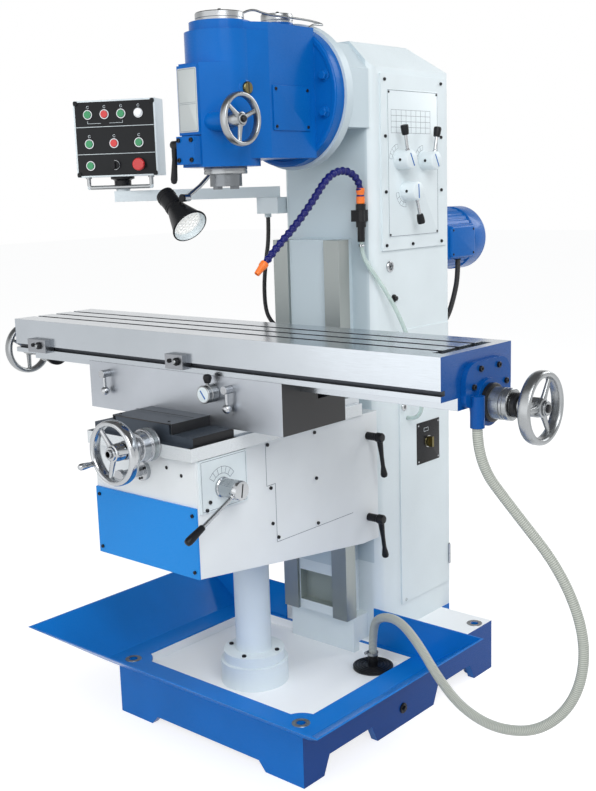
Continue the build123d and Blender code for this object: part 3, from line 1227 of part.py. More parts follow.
def lamp_shade():
    """Bell of the work lamp on its pivot pin, open at the mouth."""
    tail, mouth = Vector(*LAMP_TAIL), Vector(*LAMP_MOUTH)
    axis = mouth - tail
    length = axis.length
    lens = length - LAMP_WALL * 6
    profile = make_face(Polyline(
        (0, 0), (LAMP_NECK_R, 0), (LAMP_NECK_R, length * 0.45), (LAMP_MOUTH_R, length),
        (LAMP_MOUTH_R - LAMP_WALL, length), (LAMP_MOUTH_R - LAMP_WALL * 3, lens), (0, lens), close=True))
    bell = revolve(Plane.XZ * profile, Axis.Z)
    shade = Plane(origin=tail, x_dir=(0, 1, 0), z_dir=axis) * bell
    px, py, pz = LAMP_PIVOT
    back = py - LAMP_BALL_R - GAP
    shade += rod_y(back - PLATE, py + LAMP_BALL_R, px, pz, LAMP_ROD_R)
    shade += rod_y(back - PLATE, back, px, pz, LAMP_BALL_R)
    foot = tail + axis * 0.5
    shade += rod((px, back - PLATE / 2, pz), (foot.X, back - PLATE / 2, foot.Z), PLATE / 2)
    return shade


def corner_radii(points):
    """Radius for each inner corner: 0.45 of the shorter run over the tangent of half the turn."""
    radii = []
    for a, b, c in zip(points, points[1:], points[2:]):
        before = Vector(*b) - Vector(*a)
        after = Vector(*c) - Vector(*b)
        turn = math.radians(before.get_angle(after))
        radii.append(0.45 * min(before.length, after.length) / math.tan(turn / 2))
    return radii


def cord_path(name, points):
    """Path of straight runs joined by tangent arcs, with its radii printed."""
    radii = corner_radii(points)
    path = FilletPolyline(*points, radius=radii)
    print(name, "length", round(path.length, 1), "radii", [round(r) for r in radii])
    return path


def cord(name, points, radius, bore=0.0):
    """Round cord along a route, hollow where it has a bore."""
    path = cord_path(name, points)
    start = Plane(origin=path @ 0, z_dir=path % 0)
    solid = sweep(start * Circle(radius), path=path)
    if bore:
        solid -= sweep(start * Circle(bore), path=path)
    area = math.pi * (radius ** 2 - bore ** 2)
    print(name, "volume share", round(solid.volume / (area * path.length), 3))
    return solid


def ribbed(name, points, radius, bore, ribs, height, steady):
    """Ribbed hose along a route: four circles for each rib, plain for one diameter at both ends."""
    path = cord_path(name, points)
    length = path.length
    ends = 2 * radius
    pitch = (length - 2 * ends) / ribs
    valley = radius - height

    def tube(stations):
        rings = []
        for at, size in stations:
            place = Plane(origin=path @ (at / length), x_dir=steady, z_dir=path % (at / length))
            rings.append(place * Circle(size))
        return loft(rings, ruled=True)

    pieces = []
    for first in range(0, ribs, RIBS_PER_PIECE):
        last = min(first + RIBS_PER_PIECE, ribs)
        start = 0 if first == 0 else ends + first * pitch
        stop = length if last == ribs else ends + last * pitch
        outside = [(start, valley)] if first == 0 else []
        for i in range(first, last):
            at = ends + i * pitch
            outside += [(at, valley), (at + pitch * 0.3, radius), (at + pitch * 0.6, radius), (at + pitch * 0.9, valley)]
        outside.append((stop, valley))
        inside = [(start + (stop - start) * i / RIBS_PER_PIECE, bore) for i in range(RIBS_PER_PIECE + 1)]
        pieces.append(tube(outside) - tube(inside))
    return pieces[0].fuse(*pieces[1:])


def drain_hose():
    """Ribbed drain hose from the table's end to the strainer."""
    low = BASE_TOP - RECESS_DEPTH + DRAIN_H + DRAIN_STUB_H + GAP
    points = [(HOSE_START[0], HOSE_START[1], HOSE_START[2] - GAP), *HOSE_POINTS, (DRAIN_X, DRAIN_Y, low)]
    return ribbed("drain_hose", points, HOSE_R, HOSE_BORE, HOSE_RIBS, HOSE_RIB_H, (0, 1, 0))


def coolant_hose():
    """Jointed coolant line over the head of the valve, with its nozzle."""
    points = [(VALVE_X, VALVE_Y, VALVE_TOP + GAP), *LINE_POINTS]
    line = ribbed("coolant_hose", points, LINE_R, LINE_BORE, LINE_LINKS, LINE_RIB_H, (1, 0, 0))
    tip, before = Vector(*LINE_POINTS[-1]), Vector(*LINE_POINTS[-2])
    way = (tip - before).normalized()
    nozzle = rod(tuple(tip), tuple(tip + way * NOZZLE_L), NOZZLE_R)
    nozzle -= rod(tuple(tip - way), tuple(tip + way * (NOZZLE_L + 1)), LINE_BORE)
    return line + nozzle


def coolant_tube():
    """Clear tube from the valve down into the side of the column."""
    y, z = TUBE_HOLE
    points = [(VALVE_X, VALVE_Y, VALVE_LOW - GAP), *TUBE_POINTS, (COLUMN_HALF, y, z)]
    return cord("coolant_tube", points, TUBE_R, TUBE_BORE)


def pendant_conduit():
    """Flexible conduit from the bracket's gland down into the side of the column."""
    top = (*CONDUIT_GLAND, BRACKET_Z[0] - GLAND_L - GAP)
    y, z = CONDUIT_HOLE
    points = [top, *CONDUIT_POINTS, (-COLUMN_HALF + SHEET, y, z)]
    return cord("pendant_conduit", points, CONDUIT_R)


def motor_conduit():
    """Conduit from the motor's terminal box into the back of the column."""
    top = (*MOTOR_CORD_START, BOX_Z[0] + GLAND_L / 2)
    x, z = MOTOR_CORD_HOLE
    points = [top, *MOTOR_CORD_POINTS, (x, COLUMN_REAR - COLUMN_WALL + SHEET, z)]
    return cord("motor_conduit", points, MOTOR_CORD_R)


def all_parts():
    """Every node of the machine, by name."""
    parts = {
        "base_casting": base_casting(),
        "coolant_tray": coolant_tray(),
        "column_casting": column_casting(),
        "gearbox_cover": gearbox_cover(),
        "cabinet_door": cabinet_door(),
        "main_switch_knob": main_switch_knob(),
        "speed_lever_front": speed_lever(LEVER_FRONT, 102.0),
        "speed_lever_rear": speed_lever(LEVER_REAR, 76.0),
        "speed_lever_low": speed_lever(LEVER_LOW, 288.0),
        "drive_motor": drive_motor(),
        "elevating_pedestal": elevating_pedestal(),
        "drain_cover": drain_cover(),
        "coolant_valve": coolant_valve(),
        "pendant_bracket": pendant_bracket(),
        "drive_shaft": drive_shaft(),
        "pendant_arm": pendant_arm(),
        "pendant_box": pendant_box(),
        "direction_selector": direction_selector(),
        "stop_button": stop_button(),
        "knee_casting": knee_casting(),
        "knee_covers": knee_covers(),
        "feed_lever": feed_lever(),
        "knee_clamp_upper": knee_clamp(CLAMP_Z[0]),
        "knee_clamp_lower": knee_clamp(CLAMP_Z[1]),
        "cross_screw": cross_screw(),
        "cross_handwheel": feed_handwheel((CROSS_X, CROSS_WHEEL_Y, CROSS_Z), (0, -1, 0), 42, HANDLE_L),
        "elevating_shaft": elevating_shaft(),
        "elevating_screw": elevating_screw(),
        "saddle_casting": saddle_casting(),
        "way_cover": way_cover(),
        "table_nut": table_nut(),
        "saddle_clamp_left": saddle_clamp(SADDLE_CLAMP_X[0]),
        "saddle_clamp_right": saddle_clamp(SADDLE_CLAMP_X[1]),
        "table_feed_lever": table_feed_lever(),
        "table_top": table_top(),
        "end_brackets": end_brackets(),
        "table_screw": table_screw(),
        "table_handwheels": table_handwheels(),
        "trip_dogs": trip_dogs(),
        "head_casting": head_casting(),
        "head_caps": head_caps(),
        "quill": quill(),
        "spindle": spindle(),
        "quill_handwheel": quill_handwheel(),
        "quill_clamp": quill_clamp(),
        "lamp_arm": lamp_arm(),
        "lamp_shade": lamp_shade(),
        "drain_hose": drain_hose(),
        "coolant_hose": coolant_hose(),
        "coolant_tube": coolant_tube(),
        "pendant_conduit": pendant_conduit(),
        "motor_conduit": motor_conduit(),
    }
    for i, place in enumerate(button_places(), start=1):
        parts[f"button_{i}"] = push_button(place)
    return parts


os.makedirs("parts", exist_ok=True)
for name, part in all_parts().items():
    export_step(part, f"parts/{name}.step")
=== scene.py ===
"""Knee mill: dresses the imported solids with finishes, trim, hoses, light and a camera.

Sizes in the classes are millimetres in the part's frame: X right along the table, -Y to the operator, +Z up.
"""

from __future__ import annotations

import logging
import math
from dataclasses import dataclass
from enum import Enum
from typing import Sequence

import bmesh
import bpy
import numpy as np
from mathutils import Matrix

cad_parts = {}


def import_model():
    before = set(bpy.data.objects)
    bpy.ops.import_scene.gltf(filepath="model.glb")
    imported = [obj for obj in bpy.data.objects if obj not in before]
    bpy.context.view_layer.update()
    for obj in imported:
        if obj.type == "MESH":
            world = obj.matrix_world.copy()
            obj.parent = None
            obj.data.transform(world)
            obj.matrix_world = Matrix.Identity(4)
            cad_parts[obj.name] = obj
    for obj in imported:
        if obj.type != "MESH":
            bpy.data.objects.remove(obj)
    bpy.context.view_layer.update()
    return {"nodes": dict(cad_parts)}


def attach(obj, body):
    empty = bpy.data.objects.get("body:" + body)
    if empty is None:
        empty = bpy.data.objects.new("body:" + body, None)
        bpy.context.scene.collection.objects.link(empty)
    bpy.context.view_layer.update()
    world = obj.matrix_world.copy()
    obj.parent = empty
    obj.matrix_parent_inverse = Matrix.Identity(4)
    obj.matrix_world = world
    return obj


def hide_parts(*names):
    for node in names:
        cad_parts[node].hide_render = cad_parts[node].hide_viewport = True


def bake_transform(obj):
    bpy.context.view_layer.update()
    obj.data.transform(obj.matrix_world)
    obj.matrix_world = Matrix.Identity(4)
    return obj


log = logging.getLogger("knee_mill")

MM = 0.001
OPEN = (False, False)
LEAST_CORNER = 0.5

# Stretch of the noise that clouds and grain use
CLOUD_ENDS = (0.3, 0.7)

# Spread of roughness on hoses and dials
GLOSS_LOW = 0.8
GLOSS_HIGH = 1.3

Triple = tuple[float, float, float]
Pair = tuple[float, float]
Limits = tuple[float | None, float | None]
Colour = tuple[float, float, float, float]
Material = bpy.types.Material
Socket = bpy.types.NodeSocket


def unit(v: Sequence[float]) -> np.ndarray:
    """Direction of a vector, with length one."""
    a = np.asarray(v, float)
    return a / np.linalg.norm(a)


def linear(red: int, green: int, blue: int) -> Colour:
    """Linear colour of an 8-bit display colour.

    Args:
        red: red share, 0 to 255.
        green: green share, 0 to 255.
        blue: blue share, 0 to 255.

    Returns:
        The colour as shaders take it, with an alpha of one.
    """
    s = np.array([red, green, blue]) / 255
    lin = np.where(s <= 0.04045, s / 12.92, ((s + 0.055) / 1.055) ** 2.4)
    return (*[float(c) for c in lin], 1.0)


def shade(colour: Colour, factor: float) -> Colour:
    """The colour made darker or lighter by a factor, held at full white."""
    return (*[min(c * factor, 1.0) for c in colour[:3]], 1.0)


class Side(Enum):
    """Faces a flat piece can sit on, as the directions right and up that a person facing it sees."""

    FRONT = ((1, 0, 0), (0, 0, 1))
    RIGHT = ((0, 1, 0), (0, 0, 1))
    LEFT = ((0, -1, 0), (0, 0, 1))
    REAR = ((-1, 0, 0), (0, 0, 1))
    TOP = ((1, 0, 0), (0, 1, 0))


@dataclass(frozen=True)
class Seat:
    """Place of a piece: a point in millimetres, and the directions right and up on the face under it."""

    origin: Triple
    right: Triple
    up: Triple

    def axes(self) -> np.ndarray:
        """Rows of the directions right, up and straight out of the face."""
        right, up = unit(self.right), unit(self.up)
        return np.stack([right, up, unit(np.cross(right, up))])

    def out(self) -> np.ndarray:
        """Direction straight out of the face."""
        return self.axes()[2]

    def place(self, local: np.ndarray) -> np.ndarray:
        """Points given in millimetres as right, up and out, moved into the part's frame in metres."""
        return (np.asarray(self.origin) + local @ self.axes()) * MM

    def shifted(self, right: float = 0.0, up: float = 0.0, out: float = 0.0) -> Seat:
        """The same seat moved along its own directions."""
        move = np.array([right, up, out]) @ self.axes()
        return Seat(tuple(np.asarray(self.origin) + move), self.right, self.up)

    def around(self, radius: float, degrees: float, out: float = 0.0) -> Seat:
        """The same seat moved to a place on a circle round its point."""
        turn = math.radians(degrees)
        return self.shifted(radius * math.cos(turn), radius * math.sin(turn), out)

    def spun(self, degrees: float) -> Seat:
        """The same seat with its right direction turned towards its up direction.

        Args:
            degrees: how far it turns.

        Returns:
            The turned seat.
        """
        right, up, _ = self.axes()
        cos, sin = math.cos(math.radians(degrees)), math.sin(math.radians(degrees))
        return Seat(self.origin, tuple(cos * right + sin * up), tuple(cos * up - sin * right))

    def corners(self, right: float, up: float, out: float = 0.0) -> list[Seat]:
        """Four seats at the corners of a rectangle round this one, given its half sizes."""
        return [self.shifted(x * right, y * up, out) for x in (-1, 1) for y in (-1, 1)]


def on(side: Side, x: float, y: float, z: float) -> Seat:
    """Seat on a face of the machine at a point in millimetres."""
    return Seat((x, y, z), *side.value)


def along(start: Sequence[float], end: Sequence[float]) -> Seat:
    """Seat at a start point whose out direction runs to an end point.

    Args:
        start: the seat's point.
        end: the point that its out direction meets.

    Returns:
        The seat, with its right direction level where it can be.
    """
    axis = unit(np.subtract(end, start))
    aid = (0, 0, 1) if abs(axis[2]) < 0.9 else (1, 0, 0)
    right = unit(np.cross(aid, axis))
    return Seat(tuple(start), tuple(right), tuple(np.cross(axis, right)))


def turned(profile: Sequence[Pair], segments: int = 40) -> np.ndarray:
    """Turned surface: the profile of radius and height carried round the out axis, x = r cos a, y = r sin a.

    Args:
        profile: pairs of radius and height in millimetres.
        segments: steps round the axis.

    Returns:
        Rings of points, one ring for each pair.
    """
    r, z = np.asarray(profile, float).T
    a = np.arange(segments) * 2 * math.pi / segments
    return np.stack([np.outer(r, np.cos(a)), np.outer(r, np.sin(a)), np.repeat(z[:, None], segments, 1)], -1)


def bead(radius: float, section: float, steps: int = 14, height: float = 0.0) -> list[Pair]:
    """Round section of a ring, as pairs of radius and height, for a turned surface closed on itself."""
    a = np.arange(steps) * 2 * math.pi / steps
    return list(zip(radius + section * np.cos(a), height + section * np.sin(a)))


def rounded(width: float, height: float, corner: float, steps: int = 5) -> np.ndarray:
    """Outline of a rectangle with round corners: a quarter circle at each corner, counted round the middle.

    Args:
        width: size to the right.
        height: size up.
        corner: corner radius.
        steps: points in each corner.

    Returns:
        Points of the outline, right and up.
    """
    corner = max(min(corner, width / 2 - 0.01, height / 2 - 0.01), 0.01)
    a = (np.arange(4)[:, None] + np.linspace(0, 1, steps)[None, :]) * math.pi / 2
    centre_x = np.array([1, -1, -1, 1])[:, None] * (width / 2 - corner)
    centre_y = np.array([1, 1, -1, -1])[:, None] * (height / 2 - corner)
    return np.stack([centre_x + corner * np.cos(a), centre_y + corner * np.sin(a)], -1).reshape(-1, 2)


def lifted(width: float, height: float, corner: float, levels: Sequence[Pair]) -> np.ndarray:
    """Rounded rectangle carried straight out through levels, each with its own inset.

    Args:
        width: size to the right.
        height: size up.
        corner: corner radius where the inset is nought.
        levels: pairs of inset and height.

    Returns:
        Rings of points, one for each level.
    """
    rings = []
    for inset, z in levels:
        flat = rounded(width - 2 * inset, height - 2 * inset, max(corner - inset, LEAST_CORNER))
        rings.append(np.column_stack([flat, np.full(len(flat), z)]))
    return np.array(rings)


def slab(width: float, height: float, corner: float, thick: float, edge: float = 0.8) -> np.ndarray:
    """Plate with round corners and a softened rim: its outline carried up through insets of a quarter circle.

    Args:
        width: size to the right.
        height: size up.
        corner: corner radius.
        thick: thickness.
        edge: radius of the softened rim.

    Returns:
        Rings of points, from the face under the plate to its top.
    """
    turn = np.linspace(0, math.pi / 2, 4)
    rim = zip(edge * (1 - np.cos(turn)), thick - edge + edge * np.sin(turn))
    return lifted(width, height, corner, [(0.0, 0.0), *rim])


def frame_rings(width: float, height: float, corner: float, rim: float, thick: float) -> np.ndarray:
    """Flat frame: the outline carried up outside and down inside, to be closed on itself."""
    return lifted(width, height, corner, [(0, 0), (0, thick), (rim, thick), (rim, 0)])


def socket_head(radius: float, height: float) -> np.ndarray:
    """Cap screw head: a chamfered cylinder with a six-sided socket, as rings of twelve points.

    Args:
        radius: radius of the head.
        height: height of the head.

    Returns:
        Rings of points, from the face under the head up its side and down into the socket.
    """
    a = np.arange(12) * math.pi / 6
    six = np.where(np.arange(12) % 2 == 0, 1.0, math.cos(math.pi / 6))
    socket = radius * 0.52 * six
    levels = ((radius, 0.0), (radius, height * 0.85), (radius * 0.85, height), (socket, height),
              (socket, height * 0.45))
    return np.array([np.column_stack([r * np.cos(a), r * np.sin(a), np.full(12, z)]) for r, z in levels])


def tile(width: float, height: float, thick: float) -> np.ndarray:
    """Thin flat strip: a rectangle carried straight out.

    Args:
        width: size to the right.
        height: size up.
        thick: thickness.

    Returns:
        Two rings of four points.
    """
    x, y = width / 2, height / 2
    ring = np.array([(-x, -y), (x, -y), (x, y), (-x, y)])
    return np.stack([np.column_stack([ring, np.full(4, z)]) for z in (0.0, thick)])


def arc_strip(
        radius: float, width: float, thick: float, start: float, end: float, steps: int = 24) -> np.ndarray:
    """Thin strip bent to an arc: a rectangle of radius and height carried round the out axis.

    Args:
        radius: inner radius.
        width: size away from the middle.
        thick: thickness.
        start: first angle in degrees.
        end: last angle in degrees.
        steps: sections along the arc.

    Returns:
        Rings of four points, one for each section.
    """
    a = np.linspace(math.radians(start), math.radians(end), steps)
    r = np.array([radius, radius, radius + width, radius + width])
    z = np.array([0, thick, thick, 0])
    return np.stack([np.outer(np.cos(a), r), np.outer(np.sin(a), r), np.repeat(z[None, :], steps, 0)], -1)


def tube_rings(path: np.ndarray, radius: np.ndarray, steady: Sequence[float]) -> np.ndarray:
    """Tube: a circle carried along a path, p + r (n cos a + b sin a), with n square to a steady direction.

    Args:
        path: points in metres, in order.
        radius: metres, one for each point, or one for each point and step round it.
        steady: direction that the path never runs along.

    Returns:
        Rings of points in metres.
    """
    steps = radius.shape[1] if radius.ndim == 2 else 16
    grid = radius if radius.ndim == 2 else np.repeat(radius[:, None], steps, 1)
    tangent = np.gradient(path, axis=0)
    tangent /= np.linalg.norm(tangent, axis=1)[:, None]
    normal = np.cross(np.asarray(steady, float)[None, :], tangent)
    normal /= np.linalg.norm(normal, axis=1)[:, None]
    side = np.cross(tangent, normal)
    a = np.arange(steps) * 2 * math.pi / steps
    spread = normal[:, None, :] * np.cos(a)[None, :, None] + side[:, None, :] * np.sin(a)[None, :, None]
    return path[:, None, :] + grid[..., None] * spread


class Blank:
    """Collects rings of points and makes one mesh of them, with a UV map of round and along."""

    def __init__(self) -> None:
        """Start with nothing."""
        self.points: list[np.ndarray] = []
        self.corners: list[np.ndarray] = []
        self.sizes: list[np.ndarray] = []
        self.slots: list[np.ndarray] = []
        self.maps: list[np.ndarray] = []
        self.count = 0

    def stack(self, rings: np.ndarray, slot: int = 0, ends: tuple[bool, bool] = (True, True),
              loop: bool = False) -> Blank:
        """Skin a stack of rings with four-sided faces, and close its ends.

        Args:
            rings: points in metres, one row for each ring.
            slot: which of the piece's finishes these faces take.
            ends: whether the first and the last ring are closed with a flat face.
            loop: whether the last ring joins the first.

        Returns:
            This blank, for chaining.
        """
        n, m, _ = rings.shape
        index = np.arange(n * m).reshape(n, m) + self.count
        nearer = index if loop else index[:-1]
        further = np.roll(index, -1, axis=0) if loop else index[1:]
        corners = [nearer, np.roll(nearer, -1, 1), np.roll(further, -1, 1), further]
        faces = np.stack(corners, -1).reshape(-1, 4)
        rows = len(nearer)
        u = np.arange(m)[None, :].repeat(rows, 0) / m
        v = np.arange(rows)[:, None].repeat(m, 1) / rows
        uv = np.stack([np.stack([u, v], -1), np.stack([u + 1 / m, v], -1),
                       np.stack([u + 1 / m, v + 1 / rows], -1), np.stack([u, v + 1 / rows], -1)], -2)
        self.points.append(rings.reshape(-1, 3))
        self._faces(faces.ravel(), np.full(len(faces), 4), slot, uv.reshape(-1, 2))
        if not loop:
            for closed, ring in zip(ends, (index[0, ::-1], index[-1])):
                if closed:
                    self._faces(ring, np.array([m]), slot, np.full((m, 2), 0.5))
        self.count += n * m
        return self

    def _faces(self, corners: np.ndarray, sizes: np.ndarray, slot: int, uv: np.ndarray) -> None:
        """Keep some faces.

        Args:
            corners: indices of the points, face after face.
            sizes: how many corners each face has.
            slot: which of the piece's finishes they take.
            uv: round and along, one pair for each corner.
        """
        self.corners.append(corners)
        self.sizes.append(sizes)
        self.slots.append(np.full(len(sizes), slot))
        self.maps.append(uv)

    def lay(self, seat: Seat, rings: np.ndarray, slot: int = 0, loop: bool = False) -> Blank:
        """Add rings given in millimetres on a seat."""
        return self.stack(seat.place(rings), slot, loop=loop)

    def turn(self, seat: Seat, profile: Sequence[Pair], segments: int = 40, slot: int = 0,
             ends: tuple[bool, bool] = (True, True), loop: bool = False) -> Blank:
        """Add a turned surface on a seat."""
        return self.stack(seat.place(turned(profile, segments)), slot, ends, loop)

    def screw(self, seat: Seat, radius: float, height: float, slot: int = 0) -> Blank:
        """Add a cap screw's head on a seat."""
        return self.stack(seat.place(socket_head(radius, height)), slot)

    def scale(self, seat: Seat, radii: Pair, sweep: Pair, marks: int, spoke: float, line: float, thick: float,
              slot: int = 0) -> None:
        """Add a lever's scale: two arcs and radial marks between them.

        Args:
            seat: the seat in the middle of the arcs.
            radii: radii of the two arcs.
            sweep: first and last angle in degrees.
            marks: how many marks there are.
            spoke: length of a mark.
            line: width of every line.
            thick: thickness of every line.
            slot: which of the piece's finishes they take.
        """
        for radius in radii:
            self.lay(seat, arc_strip(radius, line, thick, *sweep), slot)
        for angle in np.linspace(*sweep, marks):
            self.lay(seat.around(sum(radii) / 2, angle).spun(angle), tile(spoke, line, thick), slot)

    def piece(self, name: str, finishes: Sequence[Material], body: str | None,
              sharp: float = 38.0) -> bpy.types.Object:
        """Make the object.

        Args:
            name: the piece's name.
            finishes: materials, in the order of the slots.
            body: the body that it rides on, or None to leave it on no body.
            sharp: angle in degrees above which an edge stays sharp.

        Returns:
            The new object, at the origin.
        """
        mesh = bpy.data.meshes.new(name)
        points = np.concatenate(self.points).astype(np.float32)
        corners = np.concatenate(self.corners).astype(np.int32)
        sizes = np.concatenate(self.sizes).astype(np.int32)
        mesh.vertices.add(len(points))
        mesh.vertices.foreach_set("co", points.ravel())
        mesh.loops.add(len(corners))
        mesh.loops.foreach_set("vertex_index", corners)
        mesh.polygons.add(len(sizes))
        mesh.polygons.foreach_set("loop_start", np.concatenate([[0], np.cumsum(sizes)[:-1]]).astype(np.int32))
        mesh.polygons.foreach_set("material_index", np.concatenate(self.slots).astype(np.int32))
        mesh.update(calc_edges=True)
        layer = mesh.uv_layers.new(name="round_along")
        layer.data.foreach_set("uv", np.concatenate(self.maps).astype(np.float32).ravel())
        mesh.validate()
        outward = bmesh.new()
        outward.from_mesh(mesh)
        bmesh.ops.recalc_face_normals(outward, faces=outward.faces)
        outward.to_mesh(mesh)
        outward.free()
        mesh.polygons.foreach_set("use_smooth", np.ones(len(sizes), bool))
        mesh.set_sharp_from_angle(angle=math.radians(sharp))
        for finish in finishes:
            mesh.materials.append(finish)
        obj = bpy.data.objects.new(name, mesh)
        bpy.context.scene.collection.objects.link(obj)
        if body:
            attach(obj, body)
        log.info("piece %s: %d faces on %s", name, len(sizes), body)
        return obj

    def fit(self, name: str, finishes: Sequence[Material], body: str, slot: str,
            node: str | None = None) -> None:
        """Make the object and, where it stands for a CAD node, hide that node.

        Args:
            name: the piece's name.
            finishes: materials, in the order of the slots.
            body: the body that it rides on.
            slot: not used.
            node: the CAD node that it stands for, if any.
        """
        obj = self.piece(name, finishes, body)
        if node:
            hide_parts(node)


def feed(tree: bpy.types.NodeTree, target: Socket, value: object) -> None:
    """Join a socket to an input, or set the input where the value is plain.

    Args:
        tree: the material's or the world's nodes.
        target: the input.
        value: a socket, a number or a colour.
    """
    if isinstance(value, Socket):
        tree.links.new(value, target)
    else:
        target.default_value = value


def wired(tree: bpy.types.NodeTree, kind: str, inputs: dict[str | int, object]) -> bpy.types.Node:
    """New node with some of its inputs joined or set.

    Args:
        tree: the material's or the world's nodes.
        kind: the node's type.
        inputs: a socket or a plain value for each input, by name or number.

    Returns:
        The new node.
    """
    node = tree.nodes.new(kind)
    for key, value in inputs.items():
        feed(tree, node.inputs[key], value)
    return node


class Shader:
    """Writes the nodes of one material round a Principled shader."""

    def __init__(self, name: str) -> None:
        """Start a material with nothing but its surface.

        Args:
            name: the material's name.
        """
        self.material = bpy.data.materials.new(name)
        self.material.use_nodes = True
        self.tree = self.material.node_tree
        self.tree.nodes.clear()
        self.surface = self.tree.nodes.new("ShaderNodeBsdfPrincipled")
        wired(self.tree, "ShaderNodeOutputMaterial", {"Surface": self.surface.outputs[0]})

    def put(self, **inputs: object) -> None:
        """Set or join inputs of the surface; an underscore in a name stands for a space."""
        for name, value in inputs.items():
            feed(self.tree, self.surface.inputs[name.replace("_", " ")], value)

    def place(self, stretch: Triple = (1, 1, 1)) -> Socket:
        """Object coordinates, stretched along X, Y and Z."""
        here = self.tree.nodes.new("ShaderNodeTexCoord").outputs["Object"]
        return wired(self.tree, "ShaderNodeMapping", {"Vector": here, "Scale": stretch}).outputs[0]

    def noise(self, scale: float, detail: float = 3.0, stretch: Triple = (1, 1, 1)) -> Socket:
        """Cloudy value from 0 to 1; scale is clouds for each metre."""
        inputs = {"Scale": scale, "Detail": detail, "Vector": self.place(stretch)}
        return wired(self.tree, "ShaderNodeTexNoise", inputs).outputs[0]

    def span(self, value: Socket, low: float, high: float, start: float = 0.0, end: float = 1.0) -> Socket:
        """Value from low to high as the source goes from start to end."""
        inputs = {"Value": value, "From Min": start, "From Max": end, "To Min": low, "To Max": high}
        return wired(self.tree, "ShaderNodeMapRange", inputs).outputs[0]

    def maths(self, operation: str, first: Socket, second: Socket | float = 0.0) -> Socket:
        """One sum on one or two values.

        Args:
            operation: the node's name for the sum.
            first: the first value.
            second: the second value, where the sum has one.

        Returns:
            The result.
        """
        node = wired(self.tree, "ShaderNodeMath", {0: first, 1: second})
        node.operation = operation
        return node.outputs[0]

    def mix(self, share: Socket, first: Socket | float, second: Socket | float) -> Socket:
        """Value between two values."""
        return wired(self.tree, "ShaderNodeMix", {0: share, 2: first, 3: second}).outputs[0]

    def blend(self, share: Socket, first: Socket | Colour, second: Socket | Colour) -> Socket:
        """Colour between two colours.

        Args:
            share: nought for the first, one for the second.
            first: the first colour.
            second: the second colour.

        Returns:
            The blended colour.
        """
        node = self.tree.nodes.new("ShaderNodeMix")
        node.data_type = "RGBA"
        for key, value in ((0, share), (6, first), (7, second)):
            feed(self.tree, node.inputs[key], value)
        return node.outputs[2]

    def bump(self, height: Socket, depth: float, edge: float = 0.0) -> None:
        """Fine relief, with edges that look rounded.

        Args:
            height: the relief, from 0 to 1.
            depth: its depth in metres.
            edge: radius of the edges in metres, or nought to leave them.
        """
        node = wired(self.tree, "ShaderNodeBump", {"Strength": 1.0, "Distance": depth, "Height": height})
        if edge:
            softened = wired(self.tree, "ShaderNodeBevel", {"Radius": edge})
            softened.samples = 4
            feed(self.tree, node.inputs["Normal"], softened.outputs[0])
        self.put(Normal=node.outputs[0])

    def round_along(self) -> tuple[Socket, Socket]:
        """The two shares of a new piece's UV map.

        Returns:
            The share round the piece and the share along it.
        """
        uv = self.tree.nodes.new("ShaderNodeUVMap")
        uv.uv_map = "round_along"
        part = wired(self.tree, "ShaderNodeSeparateXYZ", {0: uv.outputs[0]})
        return part.outputs[0], part.outputs[1]

    def inside(self, box: Zone) -> Socket:
        """One inside a box of object coordinates, nought outside it.

        Args:
            box: the box, with a limit on at least one side.

        Returns:
            The product of one test for each limit.
        """
        axes = wired(self.tree, "ShaderNodeSeparateXYZ", {0: self.place()}).outputs
        share = None
        for axis, (low, high) in zip(axes, (box.x, box.y, box.z)):
            for operation, limit in (("GREATER_THAN", low), ("LESS_THAN", high)):
                if limit is None:
                    continue
                test = self.maths(operation, axis, limit * MM)
                share = test if share is None else self.maths("MULTIPLY", share, test)
        return share


@dataclass(frozen=True)
class Zone:
    """Box in millimetres where a node has another finish; None is no limit."""

    x: Limits = (None, None)
    y: Limits = (None, None)
    z: Limits = (None, None)


@dataclass(frozen=True)
class Coat:
    """One kind of surface inside a finish: its colour, metal share and roughness."""

    colour: Colour
    metal: float = 0.0
    rough: float = 0.3


@dataclass(frozen=True)
class Finish:
    """Paint or metal with cloudy tone, gloss variation and fine relief, and other coats in given zones.

    Roughness spreads by the factors in even on the main coat, and by those in uneven in the zones.
    """

    name: str
    coat: Coat
    tone: float = 0.08
    clouds: float = 5.0
    grain: float = 700.0
    depth: float = 0.00002
    stretch: Triple = (1, 1, 1)
    edge: float = 0.0015
    clear: float = 0.0
    shine: float = 0.5
    even: Pair = (0.8, 1.25)
    uneven: Pair = (0.75, 1.3)
    zones: tuple[tuple[Zone, Coat], ...] = ()

    @staticmethod
    def gloss(coat: Coat, spread: Pair) -> Pair:
        """Least and greatest roughness of a coat."""
        return coat.rough * spread[0], coat.rough * spread[1]

    def material(self) -> Material:
        """Build the material: colour times clouds, and roughness and relief from stretched grain.

        Returns:
            The new material.
        """
        s = Shader(self.name)
        clouds = s.noise(self.clouds, 4.0)
        grain = s.noise(self.grain, 2.0, self.stretch)
        dark, light = shade(self.coat.colour, 1 - self.tone), shade(self.coat.colour, 1 + self.tone)
        colour = s.blend(s.span(clouds, 0, 1, *CLOUD_ENDS), dark, light)
        rough = s.span(grain, *self.gloss(self.coat, self.even), *CLOUD_ENDS)
        metal = self.coat.metal
        for zone, coat in self.zones:
            share = s.inside(zone)
            colour = s.blend(share, colour, coat.colour)
            rough = s.mix(share, rough, s.span(grain, *self.gloss(coat, self.uneven), *CLOUD_ENDS))
            metal = s.mix(share, metal, coat.metal)
        s.put(Base_Color=colour, Roughness=rough, Metallic=metal)
        s.put(Coat_Weight=self.clear, Coat_Roughness=0.08, Specular_IOR_Level=self.shine)
        s.bump(grain, self.depth, self.edge)
        return s.material


